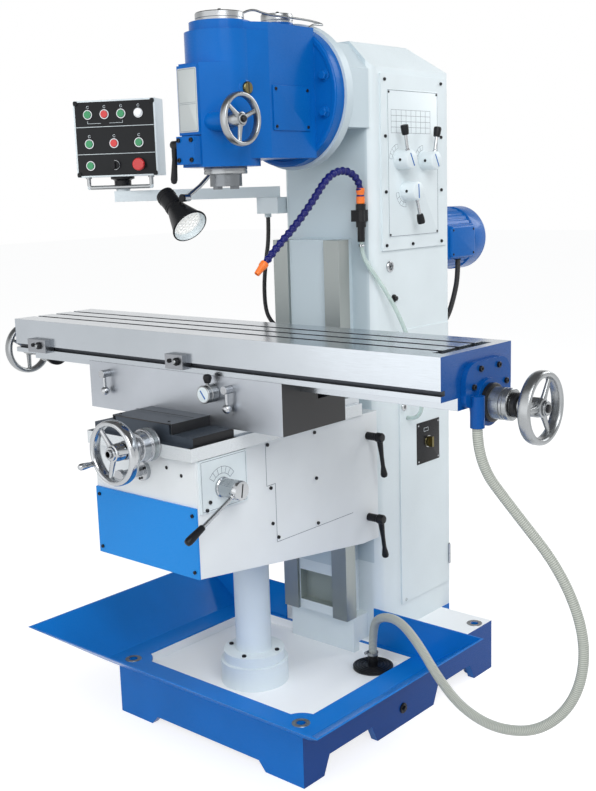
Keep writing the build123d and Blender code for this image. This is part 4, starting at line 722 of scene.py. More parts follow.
@dataclass(frozen=True)
class ClearHose:
    """Milky see-through plastic."""

    name: str
    colour: Colour
    through: float
    rough: float = 0.22

    def material(self) -> Material:
        """Build the material: milky colour with faint clouds, partly let through.

        Returns:
            The new material.
        """
        s = Shader(self.name)
        s.put(Base_Color=s.blend(s.noise(60.0), self.colour, shade(self.colour, 1.15)))
        s.put(Roughness=s.span(s.noise(300.0), self.rough * GLOSS_LOW, self.rough * GLOSS_HIGH))
        s.put(Transmission_Weight=self.through, IOR=1.35, Coat_Weight=0.3)
        return s.material


@dataclass(frozen=True)
class Marked:
    """Metal ring with fine marks round it, longer at each fifth and tenth."""

    name: str
    coat: Coat
    marks: int
    ink: Colour
    line: float = 0.22
    lengths: tuple[tuple[int, float], ...] = ((1, 0.42), (5, 0.6), (10, 0.8))

    def material(self) -> Material:
        """Build the material: dark where the fraction of marks times u is small and 1 - v is under a length.

        Returns:
            The new material.
        """
        s = Shader(self.name)
        round_, along_ = s.round_along()
        share = None
        for every, length in self.lengths:
            step = s.maths("FRACT", s.maths("MULTIPLY", round_, self.marks / every))
            line = s.maths("LESS_THAN", step, self.line / every)
            mark = s.maths("MULTIPLY", line, s.maths("GREATER_THAN", along_, 1 - length))
            share = mark if share is None else s.maths("MAXIMUM", share, mark)
        grain = s.noise(500.0, 2.0)
        s.put(Base_Color=s.blend(share, self.coat.colour, self.ink))
        s.put(Roughness=s.span(grain, self.coat.rough * GLOSS_LOW, self.coat.rough * GLOSS_HIGH))
        s.put(Metallic=s.span(share, self.coat.metal, 0.0))
        s.bump(grain, 0.00001)
        return s.material


@dataclass(frozen=True)
class Wound:
    """Hose wound with wire: pale ridges and darker valleys along a screw line."""

    name: str
    turns: float
    start: float
    ridge: Colour = linear(192, 196, 188)
    valley: Colour = linear(150, 155, 148)
    rough: float = 0.34

    def material(self) -> Material:
        """Build the material: from valley to ridge by a cosine of the winding's angle, turns v + start - u.

        Returns:
            The new material.
        """
        s = Shader(self.name)
        round_, along_ = s.round_along()
        gone = s.maths("ADD", s.maths("MULTIPLY", along_, self.turns), self.start)
        wave = s.maths("COSINE", s.maths("MULTIPLY", s.maths("SUBTRACT", gone, round_), 2 * math.pi))
        s.put(Base_Color=s.blend(s.span(wave, 0, 1, -0.6, 0.9), self.valley, self.ridge))
        s.put(Roughness=s.span(s.noise(300.0), self.rough * GLOSS_LOW, self.rough * GLOSS_HIGH))
        s.put(Transmission_Weight=0.04, Coat_Weight=0.1)
        return s.material


@dataclass(frozen=True)
class Glow:
    """Lit surface, such as the lamp's diffuser."""

    name: str
    colour: Colour
    strength: float

    def material(self) -> Material:
        """Build the material: a pale surface that gives a little light.

        Returns:
            The new material.
        """
        s = Shader(self.name)
        s.put(Base_Color=s.blend(s.noise(80.0), self.colour, (1, 1, 1, 1)), Roughness=0.3)
        s.put(Emission_Color=self.colour, Emission_Strength=self.strength)
        return s.material


# Coats that several finishes or zones share
BLUE_PAINT = Coat(linear(6, 97, 178), 0.0, 0.28)
DEEP_PAINT = Coat(linear(4, 74, 146), 0.0, 0.28)
BASE_PAINT = Coat(linear(12, 116, 202), 0.0, 0.3)
# Darker blue on the base's right side: painted shade, on the same paint as the base's front
BASE_SIDE_SHADE = Coat(linear(4, 70, 146), 0.0, 0.3)
LIGHT_PAINT = Coat(linear(28, 138, 222), 0.0, 0.3)
WHITE_PAINT = Coat(linear(222, 232, 236), 0.0, 0.32)
# White of the base's well and rear ledge: real white paint, made whiter than the column's white as painted
# light where the well lies in shade
BASE_WHITE_PAINTED_LIGHT = Coat(linear(246, 249, 251), 0.0, 0.36)
# Greyer white on the column's upper front: painted shade under the head and table, on the same white paint
COLUMN_FRONT_SHADE = Coat(linear(196, 210, 217), 0.0, 0.34)
KNEE_PAINT = Coat(linear(228, 233, 236), 0.0, 0.34)
POCKET_GREY = Coat(linear(150, 160, 156), 0.0, 0.5)
RIM_GREY = Coat(linear(214, 219, 222), 0.3, 0.3)
SHEET = Coat(linear(62, 70, 80), 0.2, 0.35)
DARK_EDGE = Coat(linear(26, 27, 30), 0.0, 0.4)
# Dark iron in the table's T-slots and dog slot: painted shade in the recesses
SLOT_SHADE_IRON = Coat(linear(70, 74, 80), 0.8, 0.4)
KNEE_WAY = Coat(linear(192, 198, 203), 1.0, 0.3)
COLUMN_WAY = Coat(linear(158, 164, 163), 1.0, 0.42)

# Where the coats change on the castings
WAYS_Z = 960.5
COVER_FACE = Zone(y=(None, -647))
# Well of the base, where the whiter white is painted light
BASE_WELL = Zone(x=(-338.5, 338.5), y=(-418.5, 96.5), z=(120, 164))
BASE_LEDGE = Zone(y=(108, None), z=(165.5, None))
# Right side of the base, where shade is painted
SHADED_BASE_RIGHT = Zone(x=(376.5, None))
# Upper front of the column, where shade is painted
SHADED_COLUMN_FRONT = Zone(y=(None, 146), z=(420, None))
COLUMN_WAYS = tuple(Zone(x=x, y=(None, 86), z=(250, 1443)) for x in ((None, -71.5), (71.5, None)))
COLUMN_POCKET = Zone(x=(-68, 68), y=(44, 86), z=(281, 384))
KNEE_TOP = Zone(z=(WAYS_Z, None))
KNEE_SHEET = Zone(y=(None, -500), z=(WAYS_Z, None))
KNEE_SHEET_EDGE = Zone(x=(193.5, None), y=(None, -500), z=(WAYS_Z, None))
KNEE_RIM = Zone(z=(924.5, WAYS_Z))
SADDLE_END = Zone(x=(377.5, None))
# Dog slot in the table's front, where shade is painted
SHADED_DOG_SLOT = Zone(y=(-507, -480), z=(1133, 1147))
TABLE_ENDS = (Zone(x=(849.6, None)), Zone(x=(None, -736.6)))
SLOT_HALF = 8.1
SLOT_MIDDLES = (-426.5, -356.5, -286.5)
# T-slots of the table, where shade is painted inside
SHADED_TABLE_SLOTS = tuple(
    Zone(x=(-736, 849), y=(mid - SLOT_HALF, mid + SLOT_HALF), z=(1180, 1222)) for mid in SLOT_MIDDLES)
COVER_EDGES = (Zone(x=(116.5, None)), Zone(y=(None, -646.5)))


class Palette:
    """Every material of the machine, by what it is used for."""

    def __init__(self) -> None:
        """Build all the materials."""
        self._paints()
        self._metals()
        self._plastics()

    @staticmethod
    def _plain(name: str, rgb: tuple[int, int, int], metal: float, rough: float, **more: object) -> Material:
        """A finish of one coat, given its display colour."""
        return Finish(name, Coat(linear(*rgb), metal, rough), **more).material()

    def _paints(self) -> None:
        """Enamels of the castings, with their ground and bare places, painted shade on the base's right side
        and the column's upper front, and painted light on the base's white well and ledge.
        """
        self.blue = Finish("blue_enamel", BLUE_PAINT, clear=0.1, shine=0.12).material()
        self.deep = Finish("deep_enamel", DEEP_PAINT, clear=0.1, shine=0.12).material()
        self.tray = Finish("tray_enamel", BASE_PAINT, clear=0.1, shine=0.12, edge=0.0).material()
        self.white = Finish("white_enamel", WHITE_PAINT, tone=0.03, shine=0.3).material()
        self.cover_blue = Finish(
            "cover_enamel", WHITE_PAINT, shine=0.2, zones=((COVER_FACE, LIGHT_PAINT),)).material()
        # Base: white well and ledge, and painted shade on its right side
        self.base = Finish(
            "base_enamel", BASE_PAINT, clear=0.08, shine=0.12,
            zones=((BASE_WELL, BASE_WHITE_PAINTED_LIGHT), (BASE_LEDGE, BASE_WHITE_PAINTED_LIGHT),
                   (SHADED_BASE_RIGHT, BASE_SIDE_SHADE))).material()
        ways = tuple((zone, COLUMN_WAY) for zone in COLUMN_WAYS)
        # Column: painted shade on its upper front, bare ways and a grey pocket
        self.column = Finish(
            "column_enamel", WHITE_PAINT, tone=0.03, shine=0.3,
            zones=((SHADED_COLUMN_FRONT, COLUMN_FRONT_SHADE), *ways, (COLUMN_POCKET, POCKET_GREY))).material()
        self.knee = Finish(
            "knee_enamel", KNEE_PAINT, tone=0.03, shine=0.25,
            zones=((KNEE_TOP, KNEE_WAY), (KNEE_SHEET, SHEET), (KNEE_SHEET_EDGE, DARK_EDGE),
                   (KNEE_RIM, RIM_GREY))).material()

    def _metals(self) -> None:
        """Ground, turned and polished metal, and sheet, with painted shade in the table's slots."""
        self.saddle = self._plain(
            "saddle_iron", (180, 185, 192), 1.0, 0.36, tone=0.12, clouds=3.0, stretch=(0.03, 1, 1), grain=900,
            zones=((SADDLE_END, DARK_EDGE),))
        ends = tuple((zone, DEEP_PAINT) for zone in TABLE_ENDS)
        # Painted shade inside the T-slots
        slots = tuple((zone, SLOT_SHADE_IRON) for zone in SHADED_TABLE_SLOTS)
        self.table = self._plain(
            "table_ground", (186, 192, 198), 1.0, 0.2, tone=0.05, stretch=(0.02, 1, 1), grain=1100,
            depth=0.00001, edge=0.0008, zones=((SHADED_DOG_SLOT, SLOT_SHADE_IRON), *ends, *slots))
        self.slate = Finish(
            "cover_sheet", SHEET, tone=0.1, edge=0.0006,
            zones=tuple((zone, DARK_EDGE) for zone in COVER_EDGES)).material()
        self.steel = self._plain("turned_steel", (176, 179, 183), 1.0, 0.24, tone=0.05, depth=0.00001)
        self.chrome = self._plain(
            "polished_steel", (182, 185, 188), 1.0, 0.16, tone=0.03, depth=0.000005, edge=0.0)
        self.satin = self._plain("satin_steel", (160, 163, 165), 1.0, 0.3, tone=0.05, edge=0.0)
        self.nose = self._plain("dark_steel", (120, 124, 128), 1.0, 0.3, tone=0.1)
        self.iron = self._plain("ground_iron", (150, 153, 158), 1.0, 0.34)
        self.oxide = self._plain("black_screw", (34, 35, 38), 0.6, 0.35, tone=0.2, edge=0.0)
        self.bronze = self._plain("bronze_plug", (112, 104, 70), 1.0, 0.3, tone=0.12, edge=0.0)
        self.plate = self._plain(
            "bare_plate", (186, 192, 192), 0.3, 0.36, tone=0.04, edge=0.0, stretch=(1, 1, 0.05))
        dial = Coat(linear(174, 180, 182), 1.0, 0.38)
        self.dial = Marked("dial_marks", dial, 100, linear(30, 32, 36)).material()

    def _plastics(self) -> None:
        """Plastic, rubber, ink, clear tube and lit surfaces."""
        self.black = self._plain("black_plastic", (26, 27, 30), 0.0, 0.3, tone=0.2, edge=0.0006, shine=0.2)
        self.panel = self._plain("black_panel", (22, 24, 27), 0.0, 0.34, tone=0.15, edge=0.0, shine=0.2)
        self.rubber = self._plain("black_rubber", (32, 32, 34), 0.0, 0.55, tone=0.2, edge=0.0)
        self.line = self._plain("line_plastic", (14, 20, 100), 0.0, 0.3, tone=0.15, edge=0.0, shine=0.3)
        self.orange = self._plain("orange_plastic", (242, 120, 40), 0.0, 0.34, tone=0.1, edge=0.0)
        self.green = self._plain("green_button", (22, 140, 84), 0.0, 0.3, edge=0.0004, clear=0.4)
        self.red = self._plain("red_button", (206, 36, 38), 0.0, 0.3, edge=0.0004, clear=0.4)
        self.ink = self._plain("grey_ink", (92, 104, 120), 0.0, 0.5, edge=0.0)
        self.tube = ClearHose("clear_tube", linear(206, 222, 218), 0.45, 0.12).material()
        self.glow = Glow("lamp_light", linear(250, 250, 246), 0.25).material()
        self.lens = Glow("signal_lens", linear(238, 242, 244), 0.1).material()

    def dress(self, nodes: dict[str, bpy.types.Object]) -> None:
        """Give every shown CAD node its material; bright steel where the table names none.

        Args:
            nodes: the CAD nodes by name.
        """
        table: dict[str, Material] = {
            "base_casting": self.base, "coolant_tray": self.tray, "column_casting": self.column,
            "gearbox_cover": self.white, "cabinet_door": self.white, "elevating_pedestal": self.white,
            "knee_casting": self.knee, "knee_covers": self.cover_blue, "pendant_bracket": self.white,
            "pendant_arm": self.white, "pendant_box": self.white, "saddle_casting": self.saddle,
            "table_top": self.table, "table_nut": self.iron, "end_brackets": self.deep,
            "head_casting": self.blue, "trip_dogs": self.iron, "way_cover": self.slate,
            "drain_cover": self.black, "coolant_valve": self.black, "spindle": self.nose,
            "main_switch_knob": self.bronze, "direction_selector": self.black, "stop_button": self.red,
            "lamp_shade": self.black, "lamp_arm": self.chrome,
        }
        reds = ("button_2", "button_5")
        for name, node in nodes.items():
            if name.startswith("button_"):
                material = self.red if name in reds else self.green
            else:
                material = table.get(name, self.steel)
            node.data.materials.clear()
            node.data.materials.append(material)


def posed(obj: bpy.types.Object, axes: Sequence[np.ndarray], spot: Sequence[float]) -> None:
    """Stand a camera or a lamp in the scene.

    Args:
        obj: the camera or lamp.
        axes: directions of its own X, Y and Z.
        spot: its place in metres.
    """
    turn = np.eye(4)
    turn[:3, :3] = np.stack(axes, 1)
    turn[:3, 3] = spot
    obj.matrix_world = Matrix(turn.tolist())
    bpy.context.scene.collection.objects.link(obj)


@dataclass(frozen=True)
class Lamp:
    """A soft square lamp: its place, the point it faces and its side in metres, and its watts."""

    name: str
    spot: Triple
    aim: Triple
    size: float
    power: float

    def build(self) -> None:
        """Make the lamp, which shines back along the line from its aim."""
        data = bpy.data.lights.new(self.name, "AREA")
        data.size = self.size
        data.energy = self.power
        seat = along(self.aim, self.spot)
        posed(bpy.data.objects.new(self.name, data), (seat.right, seat.up, seat.out()), self.spot)


@dataclass
class Studio:
    """Floor, light and the camera at the photograph's place."""

    eye: Triple = (2188.8, -2519.0, 1600.0)
    azimuth: float = 41.17
    dip: float = 10.69
    roll: float = 1.77
    focal_px: float = 1102.6
    image_height: int = 791
    floor_half: float = 30000.0
    floor_light: Colour = (0.7, 0.7, 0.7, 1)
    floor_shown: Colour = (0.45, 0.45, 0.45, 1)
    floor_lift: float = 0.78
    room_fill: Colour = (0.97, 0.985, 1.0, 1)
    room_strength: float = 0.44
    overhead: Pair = (0.22, 0.5)
    overhead_dark: float = 0.16
    lamps: tuple[Lamp, ...] = (
        Lamp("key", (3.6, -2.4, 4.0), (0.0, -0.2, 1.1), 3.0, 140.0),
        Lamp("fill", (-0.2, -4.9, 3.5), (-0.2, -0.4, 3.0), 7.0, 136.0),
        Lamp("back", (1.5, 4.0, 3.6), (0.0, -0.2, 1.1), 2.5, 80.0))

    def camera(self) -> None:
        """Place the camera from its azimuth, dip and roll."""
        az, dip, roll = (math.radians(v) for v in (self.azimuth, self.dip, self.roll))
        right = np.array([math.cos(az), math.sin(az), 0])
        ahead = np.array([-math.sin(az) * math.cos(dip), math.cos(az) * math.cos(dip), -math.sin(dip)])
        down = np.cross(ahead, right)
        right = math.cos(roll) * right + math.sin(roll) * down
        data = bpy.data.cameras.new("camera")
        data.sensor_width = 36.0
        data.lens = self.focal_px * data.sensor_width / self.image_height
        data.clip_end = 100.0
        obj = bpy.data.objects.new("camera", data)
        posed(obj, (right, np.cross(right, ahead), -ahead), np.asarray(self.eye) * MM)
        bpy.context.scene.camera = obj

    @staticmethod
    def _seen(tree: bpy.types.NodeTree) -> Socket:
        """One for rays that show a surface: from the camera, mirrored or let through.

        Args:
            tree: the nodes it is made in.

        Returns:
            The largest of the three tests.
        """
        path = tree.nodes.new("ShaderNodeLightPath")
        total = path.outputs["Is Camera Ray"]
        for name in ("Is Glossy Ray", "Is Transmission Ray"):
            node = wired(tree, "ShaderNodeMath", {0: total, 1: path.outputs[name]})
            node.operation = "MAXIMUM"
            total = node.outputs[0]
        return total

    def _split(self, tree: bpy.types.NodeTree, kind: str, lit: Socket, shown: Socket) -> None:
        """End a floor's or a room's nodes: one shader lights the scene and another is seen.

        Args:
            tree: the nodes.
            kind: the type of the output node.
            lit: the shader for rays that only carry light.
            shown: the shader for rays that show a surface.
        """
        mixed = wired(tree, "ShaderNodeMixShader", {0: self._seen(tree), 1: lit, 2: shown})
        wired(tree, kind, {0: mixed.outputs[0]})

    def floor(self) -> None:
        """Pale floor that keeps the shadow and shows white where it is lit."""
        h = self.floor_half * MM
        mesh = bpy.data.meshes.new("floor")
        mesh.from_pydata([(-h, -h, 0), (h, -h, 0), (h, h, 0), (-h, h, 0)], [], [(0, 1, 2, 3)])
        obj = bpy.data.objects.new("floor", mesh)
        bpy.context.scene.collection.objects.link(obj)
        material = bpy.data.materials.new("studio_floor")
        material.use_nodes = True
        tree = material.node_tree
        tree.nodes.clear()
        lit = wired(tree, "ShaderNodeBsdfDiffuse", {"Color": self.floor_light})
        soft = wired(tree, "ShaderNodeBsdfDiffuse", {"Color": self.floor_shown})
        lift = wired(tree, "ShaderNodeEmission", {"Strength": self.floor_lift})
        shown = wired(tree, "ShaderNodeAddShader", {0: soft.outputs[0], 1: lift.outputs[0]})
        self._split(tree, "ShaderNodeOutputMaterial", lit.outputs[0], shown.outputs[0])
        mesh.materials.append(material)

    def sky(self) -> None:
        """White room for the camera, darker overhead in mirrors, and a soft even fill."""
        world = bpy.data.worlds.new("room")
        bpy.context.scene.world = world
        world.use_nodes = True
        tree = world.node_tree
        tree.nodes.clear()
        fill = wired(tree, "ShaderNodeBackground", {"Color": self.room_fill, "Strength": self.room_strength})
        way = tree.nodes.new("ShaderNodeTexCoord").outputs["Generated"]
        height = wired(tree, "ShaderNodeSeparateXYZ", {0: way}).outputs[2]
        fade = wired(tree, "ShaderNodeMapRange", {
            "Value": height, "From Min": self.overhead[0], "From Max": self.overhead[1],
            "To Min": 1.0, "To Max": self.overhead_dark})
        shown = wired(tree, "ShaderNodeBackground", {"Color": (1, 1, 1, 1), "Strength": fade.outputs[0]})
        self._split(tree, "ShaderNodeOutputWorld", fill.outputs[0], shown.outputs[0])

    def build(self) -> None:
        """Make the whole studio."""
        bpy.context.scene.view_settings.view_transform = "Standard"
        self.camera()
        self.floor()
        self.sky()
        for lamp in self.lamps:
            lamp.build()


@dataclass
class Route:
    """A hose or cord: its route's points in millimetres and the smooth line through them."""

    name: str
    points: tuple[Triple, ...]

    def line(self, resolution: int = 48) -> np.ndarray:
        """Points read from the route's NURBS spline.

        Args:
            resolution: points for each stretch of the spline.

        Returns:
            Points in metres, in order.
        """
        data = bpy.data.curves.new(self.name + "_line", "CURVE")
        data.dimensions = "3D"
        data.resolution_u = resolution
        spline = data.splines.new("NURBS")
        spline.points.add(len(self.points) - 1)
        flat = np.column_stack([np.asarray(self.points) * MM, np.ones(len(self.points))])
        spline.points.foreach_set("co", flat.astype(np.float32).ravel())
        spline.order_u = 3
        spline.use_endpoint_u = True
        obj = bpy.data.objects.new(data.name, data)
        bpy.context.scene.collection.objects.link(obj)
        bpy.context.view_layer.update()
        mesh = bpy.data.meshes.new_from_object(obj)
        flat = np.zeros(len(mesh.vertices) * 3, np.float32)
        mesh.vertices.foreach_get("co", flat)
        bpy.data.objects.remove(obj)
        bpy.data.curves.remove(data)
        bpy.data.meshes.remove(mesh)
        return flat.reshape(-1, 3).astype(float)

    def stations(self, step: float) -> tuple[np.ndarray, np.ndarray]:
        """Even stations along the smooth line.

        Args:
            step: distance between stations in millimetres.

        Returns:
            The distance along the line in metres, and the points.
        """
        line = self.line()
        gone = np.concatenate([[0], np.cumsum(np.linalg.norm(np.diff(line, axis=0), axis=1))])
        s = np.linspace(0, gone[-1], max(int(gone[-1] / (step * MM)), 8))
        return s, np.stack([np.interp(s, gone, line[:, i]) for i in range(3)], -1)


@dataclass
class Cord(Route):
    """A round cord on the stand, smooth or ribbed, that stands for a CAD node."""

    node: str
    radius: float
    slot: str
    steady: Triple
    rib: float = 0.0
    pitch: float = 10.0
    limp: bool = False
    segments: int = 18

    def build(self, finish: Material) -> None:
        """Make the cord: a tube whose radius carries a small raised cosine, none where rib is nought.

        Args:
            finish: its material.
        """
        s, line = self.stations(1.0 if self.rib else 3.0)
        wave = 0.5 + 0.5 * np.cos(2 * math.pi * s / (self.pitch * MM))
        radius = (self.radius - self.rib + self.rib * wave) * MM
        rings = tube_rings(line, np.repeat(radius[:, None], self.segments, 1), self.steady)
        piece = Blank().stack(rings).piece(self.name, [finish], "stand", sharp=80)
        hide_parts(self.node)


@dataclass
class Hoses:
    """The drain hose, the jointed coolant line with its clear tube, and two conduits."""

    palette: Palette
    drain: tuple[Triple, ...] = (
        (872, -392, 1045.7), (872, -392, 965), (935, -340, 850), (1040, -295, 705), (1098, -280, 545),
        (1082, -290, 400), (1000, -308, 300), (880, -308, 265), (760, -280, 272), (650, -225, 303),
        (540, -165, 358), (430, -98, 374), (320, -36, 340), (243, 19, 272), (243, 19, 176.3))
    drain_r: float = 13.0
    drain_pitch: float = 5.0
    wire: float = 0.9
    cuff: float = 20.0
    top_joint_z: float = 700.0
    low_joint_x: float = 980.0
    low_joint_under: float = 350.0
    neck: float = 50.0
    floor_bend: tuple[Triple, Triple] = ((900, -308, 265), (660, -232, 300))
    line: tuple[Triple, ...] = (
        (150, 122, 1562.3), (150, 122, 1597), (148, 102, 1627), (144, 62, 1645), (140, 14, 1640),
        (135, -28, 1613), (131, -82, 1554), (114, -143, 1487), (97, -200, 1435), (84, -250, 1382))
    line_r: float = 12.0
    line_foot: Triple = (150, 122, 1546)
    link: float = 19.8
    link_shape: tuple[Pair, ...] = (
        (0, 0.66), (0.08, 0.82), (0.2, 0.95), (0.34, 1.0), (0.48, 0.95), (0.6, 0.82), (0.68, 0.74),
        (0.94, 0.74), (0.97, 0.68), (1.0, 0.66))
    tube: tuple[Triple, ...] = (
        (150, 122, 1433.7), (150, 122, 1394), (184, 138, 1338), (214, 178, 1260), (232, 222, 1170),
        (238, 258, 1080), (240, 286, 985), (242, 300, 918), (232, 303, 884), (207, 303, 866), (178, 303, 866))
    tube_r: float = 6.5
    conduit: tuple[Triple, ...] = (
        (-250, 150, 1507.7), (-250, 150, 1442), (-266, 150, 1370), (-281, 152, 1285), (-281, 156, 1200),
        (-258, 162, 1161), (-219, 168, 1138), (-174, 168, 1138))
    conduit_r: float = 7.0
    motor: tuple[Triple, ...] = (
        (118, 700, 1351), (118, 700, 1284), (116, 678, 1216), (110, 650, 1150), (106, 594, 1112),
        (106, 527, 1112))
    motor_r: float = 9.0
    segments: int = 20

    def drain_hose(self) -> None:
        """Wire-wound hose in three lengths, from the table past the saddle and knee down to the stand.

        Its radius is R less the wire, plus the wire times the square of the positive half of a cosine of the
        winding angle, 2 pi s / pitch - a. Both ends run out to a plain cuff.
        """
        s, points = Route("drain_hose", self.drain).stations(1.0)
        pitch, cuff = self.drain_pitch * MM, self.cuff * MM
        a = np.arange(self.segments) * 2 * math.pi / self.segments
        wave = np.cos(2 * math.pi * s[:, None] / pitch - a[None, :])
        plain = np.clip((s[-1] - s) / cuff, 0, 1) * np.clip(s / cuff, 0, 1)
        radius = (self.drain_r - self.wire + self.wire * plain[:, None] * np.clip(wave, 0, 1) ** 2) * MM
        rings = tube_rings(points, radius, (0.2, 1.0, 0.0))
        x, z = points[:, 0] / MM, points[:, 2] / MM
        far = 10 * abs(z).max()
        top = int(np.argmin(np.abs(z - self.top_joint_z) + far * (s > s[-1] / 2)))
        low = int(np.argmin(np.abs(x - self.low_joint_x) + far * ((s < s[top]) | (z > self.low_joint_under))))
        lengths = (
            ("drain_hose_top", 0, top, "table_body", "saddle_body"),
            ("drain_hose_side", top, low, "saddle_body", "knee_body"),
            ("drain_hose_foot", low, len(s) - 1, "knee_body", "stand"),
        )
        for name, first, last, upper, lower in lengths:
            wound = Wound(name, (s[last] - s[first]) / pitch, s[first] / pitch % 1)
            blank = Blank().stack(rings[first:last + 1], ends=(first == 0, last == len(s) - 1))
            piece = blank.piece(name, [wound.material()], None, sharp=80)
            start, end = points[first], points[last]
            if name.endswith("top"):
                start = start - [0, 0, self.neck * MM]
            elif name.endswith("foot"):
                start, end = np.array(self.floor_bend) * MM
            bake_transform(piece)
            if first == 0:
                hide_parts("drain_hose")

    def coolant_line(self) -> None:
        """Jointed line: each link's radius runs from a narrow neck over a ball to a plain skirt."""
        s, points = Route("coolant_line", self.line).stations(1.1)
        at, size = np.array(self.link_shape).T
        shape = np.interp((s / (self.link * MM)) % 1.0, at, size)
        radius = np.repeat((self.line_r * MM * shape)[:, None], self.segments, 1)
        links = Blank().stack(tube_rings(points, radius, (1, 0, 0)))
        piece = links.piece("coolant_line", [self.palette.line], "stand", sharp=50)
        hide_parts("coolant_hose")
        fitting = [(11.4, 0), (13, 2), (13, 20), (11, 22), (11, 30), (12.8, 34), (13, 40), (12.4, 46)]
        nozzle = [(11.6, -18), (12.4, -15), (12.4, -4), (10.4, 0), (8.0, 24), (6.2, 24.6), (5.2, 20),
                  (4.8, 2)]
        tip = points[-1] / MM
        ends = Blank().turn(on(Side.TOP, *self.line_foot), fitting)
        ends.turn(along(tip, tip + (points[-1] - points[-6]) / MM), nozzle)
        tips = ends.piece("coolant_line_ends", [self.palette.orange], "stand")

    def cords(self) -> None:
        """The clear tube of the coolant line, and the conduits of the pendant and the motor."""
        tube = Cord("clear_tube", self.tube, "coolant_tube", self.tube_r, "clear_hose", steady=(0.5, 1, 0),
                    limp=True)
        pendant = Cord("pendant_cord", self.conduit, "pendant_conduit", self.conduit_r, "black_rubber",
                       steady=(0, 1, 0), rib=0.5, pitch=4.0)
        motor = Cord("motor_cord", self.motor, "motor_conduit", self.motor_r, "black_rubber",
                     steady=(1, 0, 0), rib=0.6, pitch=5.0)
        tube.build(self.palette.tube)
        pendant.build(self.palette.rubber)
        motor.build(self.palette.rubber)

    def build(self) -> None:
        """Make every hose and cord."""
        self.drain_hose()
        self.coolant_line()
        self.cords()


@dataclass
class Handwheel:
    """One handwheel: a round rim, tapering spokes, a stepped hub and, where it has one, a turned handle."""

    name: str
    node: str
    body: str
    seat: Seat
    angle: float
    radius: float = 77.0
    rim: float = 8.0
    width: float = 15.0
    hub: float = 23.0
    hub_low: float = -22.0
    hub_high: float = 16.0
    spoke: float = 7.0
    spokes: int = 3
    handle: float = 0.0
    handle_turn: float = 75.0

    def _rim(self, blank: Blank) -> None:
        """Add the rim: a section whose cosine and sine are raised to powers below one, turned into a ring.

        Args:
            blank: the wheel's blank.
        """
        t = np.arange(24) * math.pi / 12
        radial, axial = np.cos(t), np.sin(t)
        section = np.column_stack([self.radius + self.rim * np.sign(radial) * np.abs(radial) ** 0.7,
                                   self.width * np.sign(axial) * np.abs(axial) ** 0.8])
        blank.turn(self.seat, section, 96, loop=True)

    def _spoke(self, blank: Blank, degrees: float) -> None:
        """Add one spoke: an oval tube that narrows outwards and swells again at the rim.

        Args:
            blank: the wheel's blank.
            degrees: the spoke's angle.
        """
        share = np.linspace(0, 1, 8)
        inner = np.array(self.seat.around(self.hub * 0.7, degrees).origin) * MM
        outer = np.array(self.seat.around(self.radius, degrees).origin) * MM
        path = inner + share[:, None] * (outer - inner)
        size = np.interp(share, [0, 0.2, 0.8, 1], [1.3, 1.05, 0.85, 1.1]) * self.spoke * MM
        a = np.arange(16) * math.pi / 8
        oval = np.hypot(1.1 * np.cos(a), 0.75 * np.sin(a))
        blank.stack(tube_rings(path, size[:, None] * oval[None, :], tuple(self.seat.out())))

    def build(self, finish: Material, dark: Material) -> None:
        """Make the wheel.

        Args:
            finish: the metal.
            dark: the end nut's finish.
        """
        blank = Blank()
        self._rim(blank)
        h, r = self.hub_high, self.hub
        hub = [(r * 0.94, self.hub_low), (r, self.hub_low + 1.5), (r, -5.0), (r * 0.95, -3.0),
               (r * 0.95, h * 0.5), (r * 0.8, h * 0.6), (r * 0.78, h - 1.2), (r * 0.72, h)]
        blank.turn(self.seat, hub)
        nut = [(r * 0.5, h), (r * 0.5, h + 0.8), (r * 0.42, h + 0.8), (r * 0.42, h + 5), (r * 0.36, h + 6)]
        blank.turn(self.seat, nut, 24, slot=1)
        for i in range(self.spokes):
            self._spoke(blank, self.angle + 360 / self.spokes * i)
        if self.handle:
            n = self.handle
            grip = [(5.0, 8), (5.0, n * 0.28), (7.4, n * 0.3), (6.4, n * 0.36), (7.6, n * 0.5),
                    (9.0, n * 0.78), (8.6, n * 0.92), (6.0, n * 0.985), (2.0, n)]
            blank.turn(self.seat.around(self.radius, self.angle + self.handle_turn), grip, 24)
        blank.fit(self.name, [finish, dark], self.body, "chrome", self.node)


